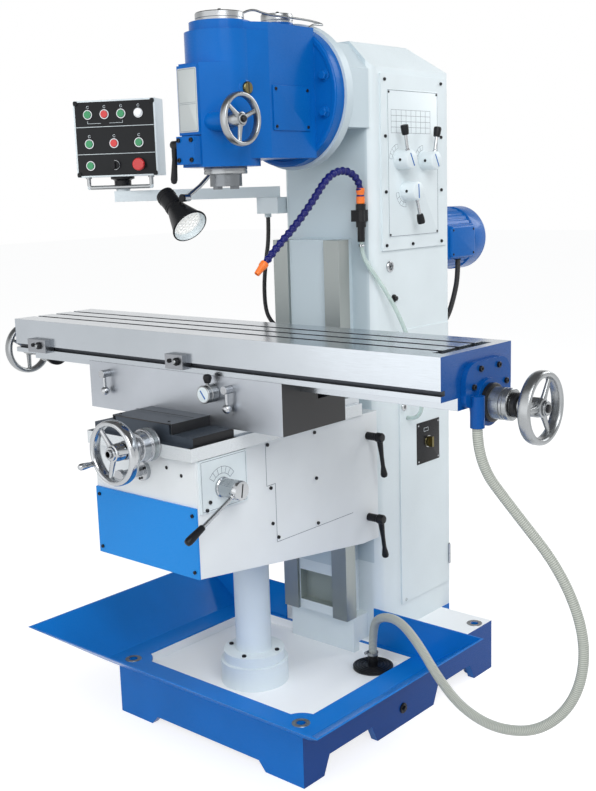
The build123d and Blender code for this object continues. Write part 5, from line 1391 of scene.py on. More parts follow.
@dataclass
class Drives:
    """Handwheels, marked dials and couplings on the three feed screws and the quill."""

    palette: Palette
    screw_y: float = -336.0
    screw_z: float = 1097.0
    right_x: float = 1003.0
    left_x: float = -922.0
    cross: Triple = (52.0, -786.0, 955.0)
    cross_dial_y: float = -667.3
    fine: Triple = (152.0, -382.0, 1779.0)
    screw_r: float = 16.0
    pitch: float = 12.0
    thread: float = 2.4
    thread_ends: Pair = (-700.0, 820.0)
    dial_right: Pair = (872.3, 109.0)
    dial_left: Pair = (-759.3, 140.0)
    segments: int = 14

    def across(self, side: Side, x: float) -> Seat:
        """Seat on the table screw's axis, facing right or left, with its right direction up."""
        return on(side, x, self.screw_y, self.screw_z).spun(90)

    def wheels(self) -> None:
        """The four handwheels."""
        p, pair, body = self.palette, "table_handwheels", "table_screw_body"
        right = Handwheel("table_wheel_right", pair, body, self.across(Side.RIGHT, self.right_x), 90)
        left = Handwheel("table_wheel_left", pair, body, self.across(Side.LEFT, self.left_x), 60)
        cross = Handwheel("cross_wheel", "cross_handwheel", "cross_screw_body",
                          on(Side.FRONT, *self.cross).spun(90), 42, handle=62.0)
        fine = Handwheel("quill_wheel", "quill_handwheel", "quill_wheel_body",
                         on(Side.RIGHT, *self.fine).spun(90), 52, radius=63.0, rim=6.5, width=11.0, hub=19.0,
                         hub_low=-39.0, hub_high=10.0, spoke=6.0)
        for wheel in (right, left, cross, fine):
            wheel.build(p.chrome if wheel is cross else p.satin, p.oxide)

    def screw(self) -> None:
        """The table screw, with a dial stack at each end.

        Its radius is R less half a thread times one plus a cosine of the thread's angle, 2 pi x / pitch - a.
        """
        p = self.palette
        x = np.arange(self.left_x - 20, self.right_x + 20, self.pitch / 5)
        a = np.arange(self.segments) * 2 * math.pi / self.segments
        cut = ((x > self.thread_ends[0]) & (x < self.thread_ends[1]))[:, None]
        wave = 0.5 + 0.5 * np.cos(2 * math.pi * x[:, None] / self.pitch - a[None, :])
        radius = self.screw_r - self.thread * cut * wave
        rings = np.stack([np.repeat(x[:, None], self.segments, 1), self.screw_y + radius * np.cos(a),
                          self.screw_z + radius * np.sin(a)], -1)
        blank = Blank().stack(rings * MM, slot=1)
        flange = [(44, 0), (46, 1), (46, 11), (42, 14), (38, 14.5)]
        knurl = [(38, 40), (36, 41), (36, 43), (38, 44), (38, 48), (36.6, 49), (38, 50), (38, 60), (36, 62),
                 (27, 63), (27, 64)]
        for side, (start, gap) in ((Side.RIGHT, self.dial_right), (Side.LEFT, self.dial_left)):
            seat = self.across(side, start)
            blank.turn(seat, flange, 64, slot=3, ends=(True, False))
            blank.turn(seat, [(38, 14.5), (38, 40)], 100, ends=OPEN)
            blank.turn(seat, knurl, 64, slot=1, ends=(False, True))
            blank.turn(seat, [(28, 64), (29, 65), (29, 76), (24, 78), (24, 80)], 48, slot=2)
            blank.turn(seat, [(21, 80), (22, 81), (22, gap)], slot=1)
        finishes = [p.dial, p.satin, p.oxide, p.black]
        blank.fit("table_screw_bar", finishes, "table_screw_body", "bright_steel", "table_screw")

    def dials(self) -> None:
        """Marked ring and sleeve of the cross screw, turned over the plain ones."""
        x, _, z = self.cross
        seat = on(Side.FRONT, x, self.cross_dial_y, z).spun(90)
        flange = [(42, 0), (44.6, 1), (44.6, 4), (43.4, 5), (44.6, 6)]
        sleeve = [(44.6, 22), (43, 23), (43, 26), (40, 27), (40, 50), (38, 52), (27, 53), (27, 62),
                  (24.6, 64), (24.6, 88)]
        blank = Blank().turn(seat, flange, 64, slot=1, ends=(True, False))
        blank.turn(seat, [(44.6, 6), (44.6, 22)], 100, ends=OPEN)
        blank.turn(seat, sleeve, 64, slot=1, ends=(False, True))
        blank.fit("cross_dial", [self.palette.dial, self.palette.steel], "cross_screw_body", "bright_steel")

    def build(self) -> None:
        """Make the wheels, the table screw and the dials."""
        self.wheels()
        self.screw()
        self.dials()


@dataclass
class Fasteners:
    """Cap screws, one piece for each body, at the places seen on each face."""

    palette: Palette
    knee_x: float = 200.0
    knee_side: tuple[Pair, ...] = (
        (-604, 914), (-495, 914), (-379, 915), (-371, 792), (-368, 690), (-346, 645), (-180, 912),
        (-177, 777), (-174, 642))
    plate_x: float = 206.0
    plate: tuple[Pair, ...] = ((-609, 809), (-621, 790))
    front_y: float = -654.0
    front: tuple[Pair, ...] = ((-185, 780), (-185, 628), (186, 780), (186, 628))
    cover_x: float = 184.0
    cover: tuple[Pair, ...] = (
        (203, 1906), (500, 1906), (203, 1742), (500, 1742), (203, 1578), (500, 1578), (203, 1418),
        (340, 1416), (500, 1416))
    bracket_right: float = 864.0
    bracket_left: float = -751.0
    bracket_drop: float = 12.0
    bracket: tuple[Pair, ...] = ((-366, 1179), (-287, 1178), (-253, 1135), (-396, 1140))
    clamp_y: float = -440.0
    clamp: tuple[Pair, ...] = ((-24, 1732), (24, 1732), (-24, 1680), (24, 1680))

    def row(self, name: str, body: str, radius: float, seats: list[Seat]) -> None:
        """All screws of one body as one piece.

        Args:
            name: the piece's name.
            body: the body that they ride on.
            radius: radius of the heads.
            seats: where each screw sits.
        """
        blank = Blank()
        for seat in seats:
            blank.screw(seat, radius, radius * 0.9)
        blank.fit(name, [self.palette.oxide], body, "black_plastic")

    def build(self) -> None:
        """Make the screws of the knee, stand, table and head."""
        knee = [on(Side.RIGHT, self.knee_x, y, z) for y, z in self.knee_side]
        knee += [on(Side.RIGHT, self.plate_x, y, z) for y, z in self.plate]
        knee += [on(Side.FRONT, x, self.front_y, z) for x, z in self.front]
        self.row("knee_screws", "knee_body", 5.0, knee)
        self.row("column_screws", "stand", 5.0, [on(Side.RIGHT, self.cover_x, y, z) for y, z in self.cover])
        table = [on(Side.RIGHT, self.bracket_right, y, z) for y, z in self.bracket]
        table += [on(Side.LEFT, self.bracket_left, y, z - self.bracket_drop) for y, z in self.bracket]
        self.row("bracket_screws", "table_body", 7.0, table)
        self.row("head_screws", "head_body", 6.0, [on(Side.FRONT, x, self.clamp_y, z) for x, z in self.clamp])


@dataclass
class SpeedLever:
    """A speed lever: white turned hub with a pointer on its face, bright rod and black knob."""

    name: str
    place: Pair
    angle: float
    pointer: float
    face: float = 184.3
    radius: float = 28.0
    length: float = 52.0
    arm: float = 92.0

    def build(self, p: Palette) -> None:
        """Make the lever.

        Args:
            p: the machine's finishes.
        """
        seat = on(Side.RIGHT, self.face, *self.place)
        r, n, a = self.radius, self.length, self.arm
        hub = [(r - 1, 0), (r, 1), (r, 9), (r - 1, 10), (r - 1, 11), (r, 12), (r, n - 4), (r - 1.2, n - 1.5),
               (r - 4, n)]
        blank = Blank().turn(seat, hub, 48)
        blank.lay(seat.shifted(out=n).spun(self.pointer), slab(r * 1.55, 4.5, 2.0, 0.5, 0.2), slot=1)
        blank.screw(on(Side.FRONT, *seat.shifted(right=0.6 - r, out=n / 2).origin), 4.5, 2.0, slot=2)
        base = seat.shifted(out=n - r / 2)
        rod = along(base.origin, base.around(a, self.angle).origin)
        blank.turn(rod, [(6.5, r - 4), (6.5, r + 3), (4.8, r + 5), (4.8, a - 16)], 20, slot=3)
        knob = [(8, a - 18), (10, a - 17), (11.5, a - 6), (12.2, a + 7), (11, a + 11.5), (7, a + 12.5)]
        blank.turn(rod, knob, 28, slot=2)
        finishes = [p.white, p.blue, p.black, p.chrome]
        body, node = f"lever_{self.name}_body", f"speed_lever_{self.name}"
        blank.fit(f"lever_{self.name}", finishes, body, "black_plastic", node)


@dataclass
class Levers:
    """Every lever that a hand turns: speeds, feeds and clamps."""

    palette: Palette
    speed: tuple[SpeedLever, ...] = (
        SpeedLever("front", (270, 1672), 102, 118), SpeedLever("rear", (402, 1669), 76, 118),
        SpeedLever("low", (302, 1578), 288, 93))
    feed: Triple = (206.3, -562.0, 840.0)
    feed_angle: float = 206.0
    feed_pointer: float = 80.0
    feed_arm: float = 212.0
    clamp_x: float = 200.3
    clamp_y: float = 68.0
    clamp_z: tuple[tuple[str, float], ...] = (("upper", 855.0), ("lower", 600.0))
    clamp_arm: float = 120.0
    clamp_lean: float = 10.0
    dial: Triple = (135.0, -509.3, 1074.0)
    dial_pointer: float = 128.0
    lock: Triple = (-34.3, -427.0, 1722.0)

    def feed_lever(self) -> None:
        """Feed selector: bright stepped barrel, slotted cap, rod and black grip."""
        p, n = self.palette, self.feed_arm
        seat = on(Side.RIGHT, *self.feed)
        barrel = [(27, 0), (27, 6), (24.8, 8), (24.8, 44), (26, 46), (26, 69), (24.5, 71.5), (22, 72)]
        blank = Blank().turn(seat, barrel, 48)
        cap = seat.shifted(out=barrel[-1][1])
        blank.lay(cap.spun(self.feed_pointer), slab(36, 4.0, 1.8, 0.5, 0.2), slot=1)
        base = seat.shifted(out=59)
        rod = along(base.origin, base.around(n, self.feed_angle).origin)
        blank.turn(rod, [(8, 22), (8, 30), (5.4, 33), (5.4, n * 0.7)], 20)
        grip = [(6, n * 0.69), (8.5, n * 0.7), (9, n * 0.74), (11, n * 0.9), (11, n * 0.96), (9, n * 0.99),
                (5, n)]
        blank.turn(rod, grip, 24, slot=1)
        blank.fit("feed_selector", [p.chrome, p.black], "feed_lever_body", "black_plastic", "feed_lever")

    def clamps(self) -> None:
        """Two black clamp levers on the knee: a hub and an arm that narrows and swells again to a knob."""
        n = self.clamp_arm
        hub = [(12, 0), (12, 34), (14.5, 37), (14.5, 54), (12, 57.5), (8, 58)]
        shape = [(11, 0), (9.5, 14), (6.6, n * 0.5), (6.4, n * 0.78), (9, n * 0.9), (10.9, n), (9, n + 7),
                 (3, n + 10.8)]
        for name, z in self.clamp_z:
            seat = on(Side.RIGHT, self.clamp_x, self.clamp_y, z)
            base = seat.shifted(out=45.0)
            blank = Blank().turn(seat, hub, 32)
            blank.turn(along(base.origin, base.around(n, self.clamp_lean - 90).origin), shape, 24)
            node = f"knee_clamp_{name}"
            blank.fit(f"clamp_{name}", [self.palette.black], f"{node}_body", "bright_steel", node)

    def feed_dial(self) -> None:
        """Table feed dial on the saddle: stepped barrel, pale face with a pointer, and a black ball lever."""
        p = self.palette
        seat = on(Side.FRONT, *self.dial)
        barrel = [(22, 0), (24, 2), (24, 24), (22.6, 25), (22.6, 27), (24, 28), (24, 38), (22.5, 39.6),
                  (20, 39.6)]
        blank = Blank().turn(seat, barrel, 48)
        cap = seat.shifted(out=barrel[-1][1])
        blank.turn(cap, [(20, 0), (19.5, 0.6), (12, 0.7)], 48, slot=1)
        blank.lay(cap.shifted(out=0.6).spun(self.dial_pointer), slab(27, 4.2, 1.8, 0.4, 0.2), slot=2)
        base = seat.shifted(out=20.0)
        rod = along(base.origin, base.shifted(up=40.0).origin)
        blank.turn(rod, [(6.5, 21), (6, 25), (4.6, 26), (4.6, 32)], 20)
        blank.turn(rod, [(5, 28), (8, 29.5), (9.5, 34), (12, 42), (10.5, 49), (5, 52.2)], 28, slot=3)
        finishes = [p.satin, p.white, p.blue, p.black]
        blank.fit("feed_dial", finishes, "table_feed_body", "black_plastic", "table_feed_lever")

    def lock_lever(self) -> None:
        """Quill clamp: black hub and a tapering handle."""
        x, y, z = self.lock
        handle = [(10, 0), (9.5, 14), (7.2, 40), (8.4, 70), (9.6, 92), (7.5, 101), (3, 104)]
        blank = Blank()
        blank.turn(along(self.lock, (x - 30, y, z)), [(10.5, 0), (11, 1), (11, 28), (9.5, 30)], 32)
        blank.turn(along((x - 19, y, z), (x - 30, y, z - 96)), handle, 24)
        blank.fit("quill_lock", [self.palette.black], "quill_clamp_body", "black_plastic", "quill_clamp")

    def build(self) -> None:
        """Make every lever."""
        for lever in self.speed:
            lever.build(self.palette)
        self.feed_lever()
        self.clamps()
        self.feed_dial()
        self.lock_lever()


@dataclass
class Pendant:
    """Trim of the control box: black panel, bezels, lens, grab bar and joint."""

    palette: Palette
    axis: Pair = (-598.096, -154.681)
    right: Triple = (0.87036, 0.49242, 0.0)
    front: float = 45.0
    low: float = 1651.0
    width: float = 270.0
    height: float = 237.0
    columns: tuple[float, ...] = (0.18, 0.385, 0.485, 0.59, 0.79, 0.80)
    rows: tuple[float, ...] = (0.185, 0.565, 0.85)
    rules: Pair = (0.345, 0.70)
    skin: float = 0.8
    bar_half: float = 105.0
    bar_drop: float = 33.0
    bar_back: float = 20.0
    bar_bend: float = 9.0
    bar_r: float = 6.4

    def face(self) -> Seat:
        """Seat in the middle of the box's front."""
        axis = Seat((*self.axis, self.low), self.right, (0, 0, 1))
        return axis.shifted(up=self.height / 2, out=self.front)

    def spot(self, u: float, v: float) -> Seat:
        """Seat of a control, from its shares across and down the face."""
        return self.face().shifted((u - 0.5) * self.width, (0.5 - v) * self.height)

    def panel(self) -> None:
        """Black panel with corner ears, white rules and a bright ring round each control."""
        p, face = self.palette, self.face()
        blank = Blank().lay(face, slab(260, 227, 2.0, self.skin, 0.3))
        for ear in face.corners(127, 110.5):
            blank.lay(ear, slab(14, 14, 5.0, 4.0, 1.2))
        for v in self.rules:
            blank.lay(self.spot(0.5, v).shifted(out=self.skin), tile(258, 1.6, 0.3), slot=1)
        u, (top, middle, bottom) = self.columns, self.rows
        rule = self.spot((u[0] + u[3]) / 2, top + 0.115)
        for x, w, h in ((-36, 44, 1.0), (36, 44, 1.0), (-58, 1.0, 8), (58, 1.0, 8)):
            blank.lay(rule.shifted(x, (h - 1) / 2, self.skin), tile(w, h, 0.2), slot=1)
        places = [(u[i], top) for i in (0, 1, 3, 5)]
        places += [(u[i], v) for v in (middle, bottom) for i in (0, 2, 4)]
        ring = [(15.8, self.skin), (15.8, 3.4), (14.8, 4.7), (12.4, 4.9), (11.4, 4.1)]
        for a, b in places:
            blank.turn(self.spot(a, b), ring, slot=2, ends=OPEN)
            if b != bottom:
                mark = self.spot(a, b - 0.098).shifted(out=self.skin)
                blank.lay(mark, arc_strip(3.2, 1.0, 0.2, 20, 340, 18), slot=1)
        blank.turn(self.spot(u[5], top), [(12.4, 4), (12.4, 6), (11, 9.2), (6, 10.8), (1, 11.2)], 32, slot=3)
        blank.fit("pendant_panel", [p.panel, p.white, p.chrome, p.lens], "pendant_body", "sheet_paint")

    def bar(self) -> None:
        """Bright grab bar with round bends, and the black swivel joint under the box."""
        p, seat = self.palette, self.face().shifted(up=-self.height / 2, out=-self.bar_back)
        turn = np.linspace(0, math.pi / 2, 7)
        w, d, r = self.bar_half, self.bar_drop, self.bar_bend
        left = np.column_stack([-w + r * (1 - np.cos(turn)), -d + r * (1 - np.sin(turn))])
        flat = np.concatenate([[(-w, 1.0)], left, left[::-1] * [-1, 1], [(w, 1.0)]])
        path = seat.place(np.column_stack([flat, np.zeros(len(flat))]))
        blank = Blank().stack(tube_rings(path, np.full(len(path), self.bar_r * MM), tuple(seat.out())))
        for side in (-w, w):
            blank.turn(on(Side.TOP, *seat.shifted(side).origin), [(9, -5), (10, -4), (10, 0)], 24)
        joint = [(23, 1611), (24.5, 1612), (24.5, 1622), (27, 1624), (27, 1638), (30, 1641), (38, 1643.5),
                 (38, 1650.8)]
        blank.turn(on(Side.TOP, *self.axis, 0), joint, slot=1)
        blank.fit("pendant_bar", [p.satin, p.black], "pendant_body", "sheet_paint")

    def build(self) -> None:
        """Make the trim of the box."""
        self.panel()
        self.bar()


@dataclass
class HeadTrim:
    """Trim of the head: covers, plug, bare plate, flange lip and nuts, oil pipe, caps and lamp."""

    palette: Palette
    side: float = 118.0
    cover: Pair = (-142.0, 1815.5)
    boss: Triple = (96.0, -298.0, 1865.0)
    swivel: Triple = (0.0, -38.0, 1857.0)
    nut_circle: float = 162.0
    nut_angles: tuple[float, ...] = (18, 162, 198, 342)
    plate_at: Triple = (0.0, -423.0, 1835.0)
    pipe: tuple[Triple, ...] = (
        (30, -238, 2066), (34, -205, 2086), (44, -150, 2072), (58, -70, 2070), (62, 10, 2069), (66, 52, 2064),
        (76, 58, 2058), (84, 30, 2056), (86, -4, 2054), (86, -24, 2040))
    pipe_r: float = 3.0
    quill_y: float = -291.0
    front_cap_z: float = 2043.0
    rear_cap: Triple = (0, -58, 2060)
    lamp_tail: Triple = (-224.0, -318.0, 1590.0)
    lamp_mouth: Triple = (-112.0, -330.0, 1500.0)
    lamp_depth: float = 17.0

    def covers(self) -> None:
        """Side covers, flange lip with nuts and the plug's boss in the head's paint, and the oil pipe."""
        p = self.palette
        blank = Blank()
        for side, x in ((Side.RIGHT, self.side), (Side.LEFT, -self.side)):
            cover = on(side, x, *self.cover)
            blank.lay(cover, slab(152, 121, 3.0, 4.0))
            for seat in cover.corners(66, 50, 4.0):
                blank.screw(seat, 4.5, 2.6, slot=1)
        flange = on(Side.FRONT, *self.swivel)
        blank.turn(flange, [(180, 0), (182, 2.6), (193, 2.6), (196, 0)], 120, ends=OPEN)
        for angle in self.nut_angles:
            nut = flange.around(self.nut_circle, angle)
            blank.turn(nut, [(17, 0), (17, 2.5), (15.5, 3)], 32)
            blank.turn(nut, [(13, 3), (13, 12), (11, 14)], 6)
        boss = on(Side.RIGHT, *self.boss)
        blank.turn(boss, [(26, -6), (24, 0), (20, 2.5)])
        blank.turn(boss, [(16.5, 2), (16.5, 9), (14.5, 11)], 36, slot=2)
        blank.lay(boss.shifted(out=10.6), tile(4.0, 27, 0.6), slot=1)
        _, points = Route("oil_pipe", self.pipe).stations(4.0)
        blank.stack(tube_rings(points, np.full(len(points), self.pipe_r * MM), (1, 0.3, 0)), slot=3)
        blank.fit("head_covers", [p.blue, p.oxide, p.bronze, p.satin], "head_body", "blue_paint")

    def plate(self) -> None:
        """Bare name plate with a thin frame and two rules."""
        p = self.palette
        seat = on(Side.FRONT, *self.plate_at)
        face = seat.shifted(out=1.0)
        blank = Blank().lay(seat, slab(72, 166, 4.0, 1.0, 0.4))
        blank.lay(face, frame_rings(66, 160, 3.0, 0.8, 0.2), slot=1, loop=True)
        for up in (-6, -10):
            blank.lay(face.shifted(up=up), tile(60, 0.8, 0.2), slot=1)
        blank.fit("head_plate", [p.plate, p.ink], "head_body", "blue_paint")

    def caps(self) -> None:
        """The two turned caps above the head, each with four screws."""
        p = self.palette
        front = on(Side.TOP, 0, self.quill_y, self.front_cap_z)
        rear = on(Side.TOP, *self.rear_cap)
        front_steps = [(65, 0), (65, 9), (66.5, 10), (66.5, 23), (64.5, 25.4), (50, 25.4), (49, 24), (40, 24),
                       (39, 27), (14, 27), (12, 29), (4, 29)]
        rear_steps = [(45, 0), (45, 6), (46, 7), (46, 22), (44.6, 24.4), (34, 24.4), (33, 23), (10, 23)]
        blank = Blank().turn(front, front_steps, 72).turn(rear, rear_steps, 64)
        for seat, radius, up in ((front, 57, 25.4), (rear, 39, 24.4)):
            for angle in (45, 135, 225, 315):
                blank.screw(seat.around(radius, angle, up), 4.5, 3.0, slot=1)
        blank.fit("cap_steps", [p.satin, p.oxide], "head_body", "bright_steel", "head_caps")

    def collar(self) -> None:
        """Two bright bands with a groove between them, round the quill."""
        bands = [(59.4, 1642), (60.2, 1643), (60.2, 1650), (59, 1651), (59, 1652.4), (60.2, 1653.4),
                 (60.2, 1659), (59.4, 1660.4)]
        blank = Blank().turn(on(Side.TOP, 0, self.quill_y, 0), bands, 72, ends=OPEN)
        blank.fit("quill_collar", [self.palette.satin], "quill_body", "bright_steel")

    def lamp(self) -> None:
        """Inside of the lamp's bell, its lit disc with rings of small domes, and rings round the neck."""
        p = self.palette
        seat = along(self.lamp_tail, self.lamp_mouth)
        n = float(np.linalg.norm(np.subtract(self.lamp_mouth, self.lamp_tail)))
        disc = n - self.lamp_depth
        lip = [(53.6, n - 5), (54.2, n - 3), (54.2, n - 0.5), (53, n + 0.4), (50, n + 0.2)]
        blank = Blank().turn(seat, lip, 64, ends=OPEN)
        for share in (0.06, 0.12, 0.36, 0.42):
            blank.turn(seat, bead(27.2, 1.2, 10, n * share), 48, loop=True)
        blank.turn(seat, [(50, n + 0.2), (49, n - 1), (43.4, disc - 0.4)], 64, slot=1, ends=OPEN)
        blank.turn(seat, [(43.4, disc - 0.6), (20, disc - 0.2), (2, disc)], 48, slot=2)
        for radius, count in ((0, 1), (12, 6), (23, 12), (34, 18)):
            for i in range(count):
                dome = seat.around(radius, 360 * i / count, disc - 0.2)
                blank.turn(dome, [(4.2, 0), (3.4, 1.8), (1.4, 2.8)], 10, slot=2)
        blank.fit("lamp_inside", [p.black, p.white, p.glow], "lamp_shade_body", "dark_sheet")

    def build(self) -> None:
        """Make the trim of the head."""
        self.covers()
        self.plate()
        self.caps()
        self.collar()
        self.lamp()


@dataclass
class StandTrim:
    """Trim of the column and base, and the motor."""

    palette: Palette
    cover_x: float = 184.0
    side_x: float = 178.0
    door_x: float = 182.0
    plate_at: Pair = (349.0, 1660.0)
    plate_thick: float = 0.8
    scales: tuple[tuple[Pair, Pair], ...] = (
        ((270, 1672), (95, 175)), ((402, 1669), (95, 175)), ((302, 1578), (185, 275)))
    glass: Pair = (224.0, 1353.0)
    plug: Pair = (243.0, 1254.0)
    low_screw: Pair = (285.0, 260.0)
    band: Triple = (150.0, 122.0, 1418.0)
    band_tail: Triple = (158.0, 118.0, 1422.5)
    switch_at: Pair = (417.5, 768.0)
    switch_thick: float = 1.4
    lock: Pair = (284.0, 905.0)
    base_plug: Triple = (377.0, -12.0, 54.0)
    hinge_y: float = 538.0
    hinge_z: Pair = (350.0, 1050.0)
    motor_y: float = 545.0
    motor_z: float = 1407.0
    motor_r: float = 104.0
    fins: int = 30
    fin: float = 3.0
    terminals: Triple = (60.0, 700.0, 1402.5)
    gland: Triple = (118.0, 700.0, 1340.0)
    drain: Pair = (243.0, 19.0)
    strainer: tuple[float, ...] = (28, 38, 48, 57.5)
    strainer_z: float = 144.5
    clamp_z: float = 178.0
    clamp_tail: Triple = (226.0, 10.0, 183.0)
    pedestal: Triple = (0.0, -254.0, 235.0)
    pedestal_circle: float = 75.0
    anchors: tuple[Triple, ...] = ((-345, -440, 170), (345, -440, 170), (-345, 440, 166), (345, 440, 166))

    def labels(self) -> None:
        """Bare plate on the gear cover with an empty grid, and a scale round each speed lever."""
        p = self.palette
        plate = on(Side.RIGHT, self.cover_x, *self.plate_at)
        top = plate.shifted(out=self.plate_thick)
        blank = Blank().lay(plate, slab(270, 440, 3.0, self.plate_thick, 0.3))
        blank.lay(top, frame_rings(264, 434, 2.0, 1.4, 0.2), slot=1, loop=True)
        for up in (92, 109, 126, 143, 160):
            blank.lay(top.shifted(-12, up), tile(206, 0.9, 0.2), slot=1)
        for right in (-115, -89, -63, -38, -12, 14, 39, 65, 91):
            blank.lay(top.shifted(right, 126), tile(0.9, 68, 0.2), slot=1)
        for place, sweep in self.scales:
            middle = on(Side.RIGHT, self.cover_x + self.plate_thick, *place)
            blank.scale(middle, (33, 47), sweep, marks=5, spoke=13, line=0.9, thick=0.2, slot=1)
        for seat in top.corners(126, 211):
            blank.screw(seat, 3.6, 1.6, slot=2)
        blank.fit("cover_plate", [p.white, p.ink, p.oxide], "stand", "white_paint")

    def fittings(self) -> None:
        """Sight glass, oil plug, tube band, switch panel, door lock, hinges and base plug."""
        p = self.palette
        blank = Blank()
        glass = on(Side.RIGHT, self.side_x, *self.glass)
        blank.turn(glass, [(17, 0), (17, 4), (15, 6), (11, 6), (10, 3)], slot=1)
        blank.turn(glass, [(10, 3), (9, 3.6), (4, 4)], 32, slot=2)
        blank.turn(glass, [(3.4, 4), (3, 5), (1, 5.2)], 20)
        plug = on(Side.RIGHT, self.side_x, *self.plug)
        blank.turn(plug, [(12, 0), (12, 4), (10.5, 5)], 32)
        blank.turn(plug, [(8, 5), (8, 12), (6.6, 13.5)], 6)
        blank.screw(on(Side.RIGHT, self.side_x, *self.low_screw), 6.0, 4.0)
        band = [(7.2, 0), (8.2, 0.5), (8.2, 8.5), (7.2, 9)]
        blank.turn(on(Side.TOP, *self.band), band, 32, slot=1, ends=OPEN)
        tail = [(2.4, -5), (3.4, -4), (3.4, 5), (2.4, 6)]
        blank.turn(on(Side.REAR, *self.band_tail).spun(90), tail, 16, slot=1)
        panel = on(Side.RIGHT, self.door_x, *self.switch_at)
        top = panel.shifted(out=self.switch_thick)
        blank.lay(panel, slab(129, 138, 2.0, self.switch_thick, 0.5))
        blank.turn(top, [(19.5, 0), (19.5, 0.8), (17.5, 0.9)], 48, slot=1)
        blank.lay(top.shifted(-12, 42), frame_rings(26, 12, 1.0, 1.0, 0.2), slot=3, loop=True)
        for seat in top.corners(56, 60):
            blank.screw(seat, 3.0, 1.4, slot=1)
        lock = on(Side.RIGHT, self.door_x, *self.lock)
        blank.turn(lock, [(13, 0), (13, 3), (11, 5), (5, 5), (4.6, 3.5)], 36, slot=1)
        blank.lay(lock.shifted(out=4.8), tile(3, 14, 0.5))
        hinge = [(3, -36), (5.4, -34), (5.4, -0.6), (4.6, -0.3), (4.6, 0.3), (5.4, 0.6), (5.4, 34), (3, 36)]
        for z in self.hinge_z:
            blank.turn(on(Side.TOP, self.door_x + 2, self.hinge_y, z), hinge, 24, slot=1)
        base = on(Side.RIGHT, *self.base_plug)
        blank.turn(base, [(16, -2), (16, 3), (14, 5)], 36)
        blank.turn(base, [(9, 5), (9, 9), (7.6, 10.5)], 4)
        blank.fit("column_fittings", [p.black, p.chrome, p.nose, p.white], "stand", "black_plastic")

    def motor(self) -> None:
        """Motor: flange, core whose radius carries square fins, end cowl with rings, and terminal box."""
        p, core = self.palette, self.motor_r
        rear = on(Side.REAR, 0, self.motor_y, self.motor_z)
        step = np.arange(self.fins * 8)
        a = step * 2 * math.pi / len(step)
        fin = np.where(step % 8 < 5, self.fin, 0.2 * self.fin)
        rings = []
        for z, share in ((20, 0.0), (22, 1.0), (270, 1.0), (273, 0.0)):
            r = core + fin * share
            rings.append(np.column_stack([r * np.cos(a), r * np.sin(a), np.full(len(a), z)]))
        flange = [(117, 0), (119, 2), (119, 13), (117, 15), (106, 15), (core, 17), (core, 277)]
        cowl = [(105, 276), (110, 280), (110, 347), (106, 355.5), (98, 359.6), (87, 359.6), (85, 356)]
        blank = Blank().lay(rear, np.array(rings)).turn(rear, flange, 72).turn(rear, cowl, 72)
        for radius in (24, 40, 56, 72):
            blank.turn(rear, bead(radius, 2.2, 10, 357.2), 56, slot=1, loop=True)
        terminals = on(Side.RIGHT, *self.terminals)
        lid = terminals.shifted(out=70.0)
        blank.lay(terminals, slab(160, 115, 6.0, 71.0, 2.0))
        blank.lay(lid, slab(150, 106, 16.0, 12.0, 6.0))
        for seat in lid.corners(62, 40, 11.0):
            blank.screw(seat, 4.0, 2.4, slot=1)
        blank.turn(on(Side.TOP, *self.gland), [(12, 0), (12.5, 1), (12.5, 9), (10.5, 11)], 6, slot=1)
        blank.fit("motor_jacket", [p.blue, p.black], "stand", "blue_paint", "drive_motor")

    def foot(self) -> None:
        """Pedestal screws, strainer rings, hose clamp and anchor washers."""
        p = self.palette
        blank = Blank()
        for angle in (20, 110, 200, 290):
            blank.screw(on(Side.TOP, *self.pedestal).around(self.pedestal_circle, angle), 7.0, 5.0)
        for radius in self.strainer:
            blank.turn(on(Side.TOP, *self.drain, self.strainer_z), bead(radius, 1.7, 10), 48, loop=True)
        clamp = [(16.4, 0), (17.2, 0.5), (17.2, 9.5), (16.4, 10)]
        blank.turn(on(Side.TOP, *self.drain, self.clamp_z), clamp, slot=1, ends=OPEN)
        blank.turn(on(Side.FRONT, *self.clamp_tail), [(4, -9), (5, -8), (5, 7), (4, 8)], 16, slot=1)
        washer = [(13.2, 0.2), (13.2, 1.2), (25, 1.2), (25.6, 0.4)]
        for anchor in self.anchors:
            blank.turn(on(Side.TOP, *anchor), washer, slot=1, ends=OPEN)
        blank.fit("base_fittings", [p.oxide, p.satin], "stand", "black_plastic")

    def build(self) -> None:
        """Make the trim of the stand."""
        self.labels()
        self.fittings()
        self.motor()
        self.foot()


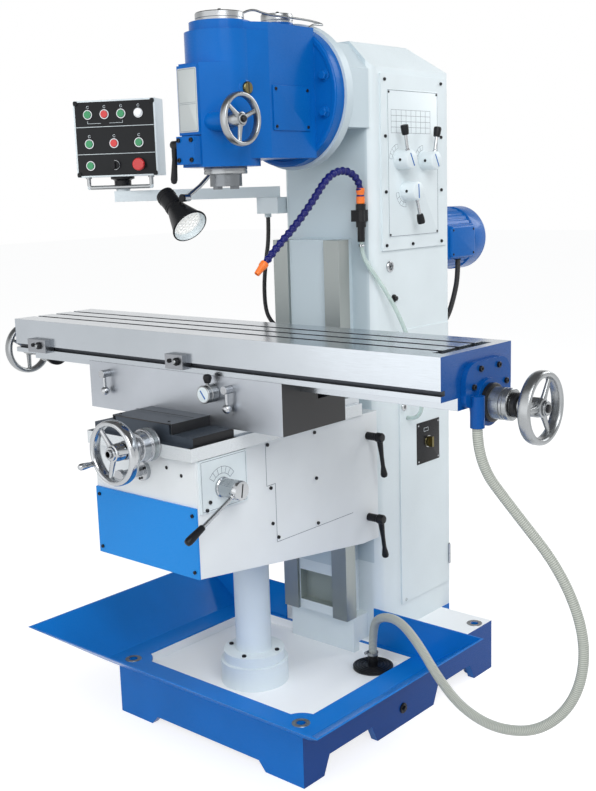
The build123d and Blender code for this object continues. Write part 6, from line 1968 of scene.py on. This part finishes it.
@dataclass
class SlideTrim:
    """Trim of the knee, saddle and table: scale, seams, wiper and dog bolts."""

    palette: Palette
    knee_x: float = 200.0
    plate_x: float = 206.0
    plate_at: Pair = (-553.5, 852.5)
    scale_at: Pair = (-562.0, 840.0)
    seams: tuple[tuple[float, float, float, float], ...] = (
        (-386, 862, 1.4, 124), (-351, 716, 1.4, 168), (-180, 632, 342, 1.4), (-368, 800, 36, 1.4))
    holes: tuple[Triple, ...] = ((90, -648, 893), (145, -648, 879))
    wiper: Triple = (195, -410, 972)
    shaft_flange: Triple = (0, -663, 874)
    dogs: tuple[Triple, ...] = ((-608.5, -526, 1150), (4.0, -526, 1150))
    cover_top: Triple = (0, -578, 1014)

    def knee(self) -> None:
        """Feed scale with its frame, plate seams, holes, the wiper under the saddle and flange screws."""
        p = self.palette
        plate = on(Side.RIGHT, self.plate_x, *self.plate_at)
        blank = Blank().lay(plate, frame_rings(165, 133, 3.0, 1.0, 0.3), loop=True)
        scale = on(Side.RIGHT, self.plate_x, *self.scale_at)
        blank.scale(scale, (36, 54), (35, 145), marks=7, spoke=18, line=1.0, thick=0.3)
        for y, z, w, h in self.seams:
            blank.lay(on(Side.RIGHT, self.knee_x, y, z), tile(w, h, 0.25))
        for hole in self.holes:
            blank.turn(on(Side.FRONT, *hole), [(5, 0), (5, 0.6), (3, 0.8)], 20, slot=1)
        blank.lay(on(Side.RIGHT, *self.wiper), slab(36, 20, 2.0, 7.0), slot=1)
        for angle in (30, 150, 270):
            blank.screw(on(Side.FRONT, *self.shaft_flange).around(20, angle), 3.6, 2.4, slot=1)
        blank.fit("knee_marks", [p.ink, p.black], "knee_body", "black_plastic")

    def table(self) -> None:
        """Bolt with a black knob on each trip dog."""
        blank = Blank()
        for dog in self.dogs:
            seat = on(Side.FRONT, *dog)
            blank.turn(seat.shifted(14), [(11, 0), (11, 6), (9, 8)], 32)
            blank.turn(seat.shifted(14, out=8), [(6, 0), (6, 4), (5, 5)], 6, slot=1)
            blank.screw(seat.shifted(-16), 6.0, 5.0)
        blank.fit("dog_bolts", [self.palette.black, self.palette.satin], "table_body", "bright_steel")

    def cover(self) -> None:
        """Raised seam and two screws on the way cover."""
        top = on(Side.TOP, *self.cover_top)
        blank = Blank().lay(top.shifted(0, 12), tile(226, 2.2, 0.8))
        for x in (-96, 96):
            blank.screw(top.shifted(x, -58), 4.0, 2.0)
        blank.fit("cover_seam", [self.palette.black], "saddle_body", "dark_sheet")

    def build(self) -> None:
        """Make the trim of the slides."""
        self.knee()
        self.table()
        self.cover()


def main() -> None:
    """Load the frame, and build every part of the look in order."""
    logging.basicConfig(level=logging.INFO, format="%(message)s")
    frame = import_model()
    palette = Palette()
    palette.dress(frame["nodes"])
    Studio().build()
    for kind in (Hoses, Drives, Levers, Pendant, HeadTrim, StandTrim, SlideTrim, Fasteners):
        kind(palette).build()
        log.info("%s done", kind.__name__)


if __name__ == "__main__":
    main()
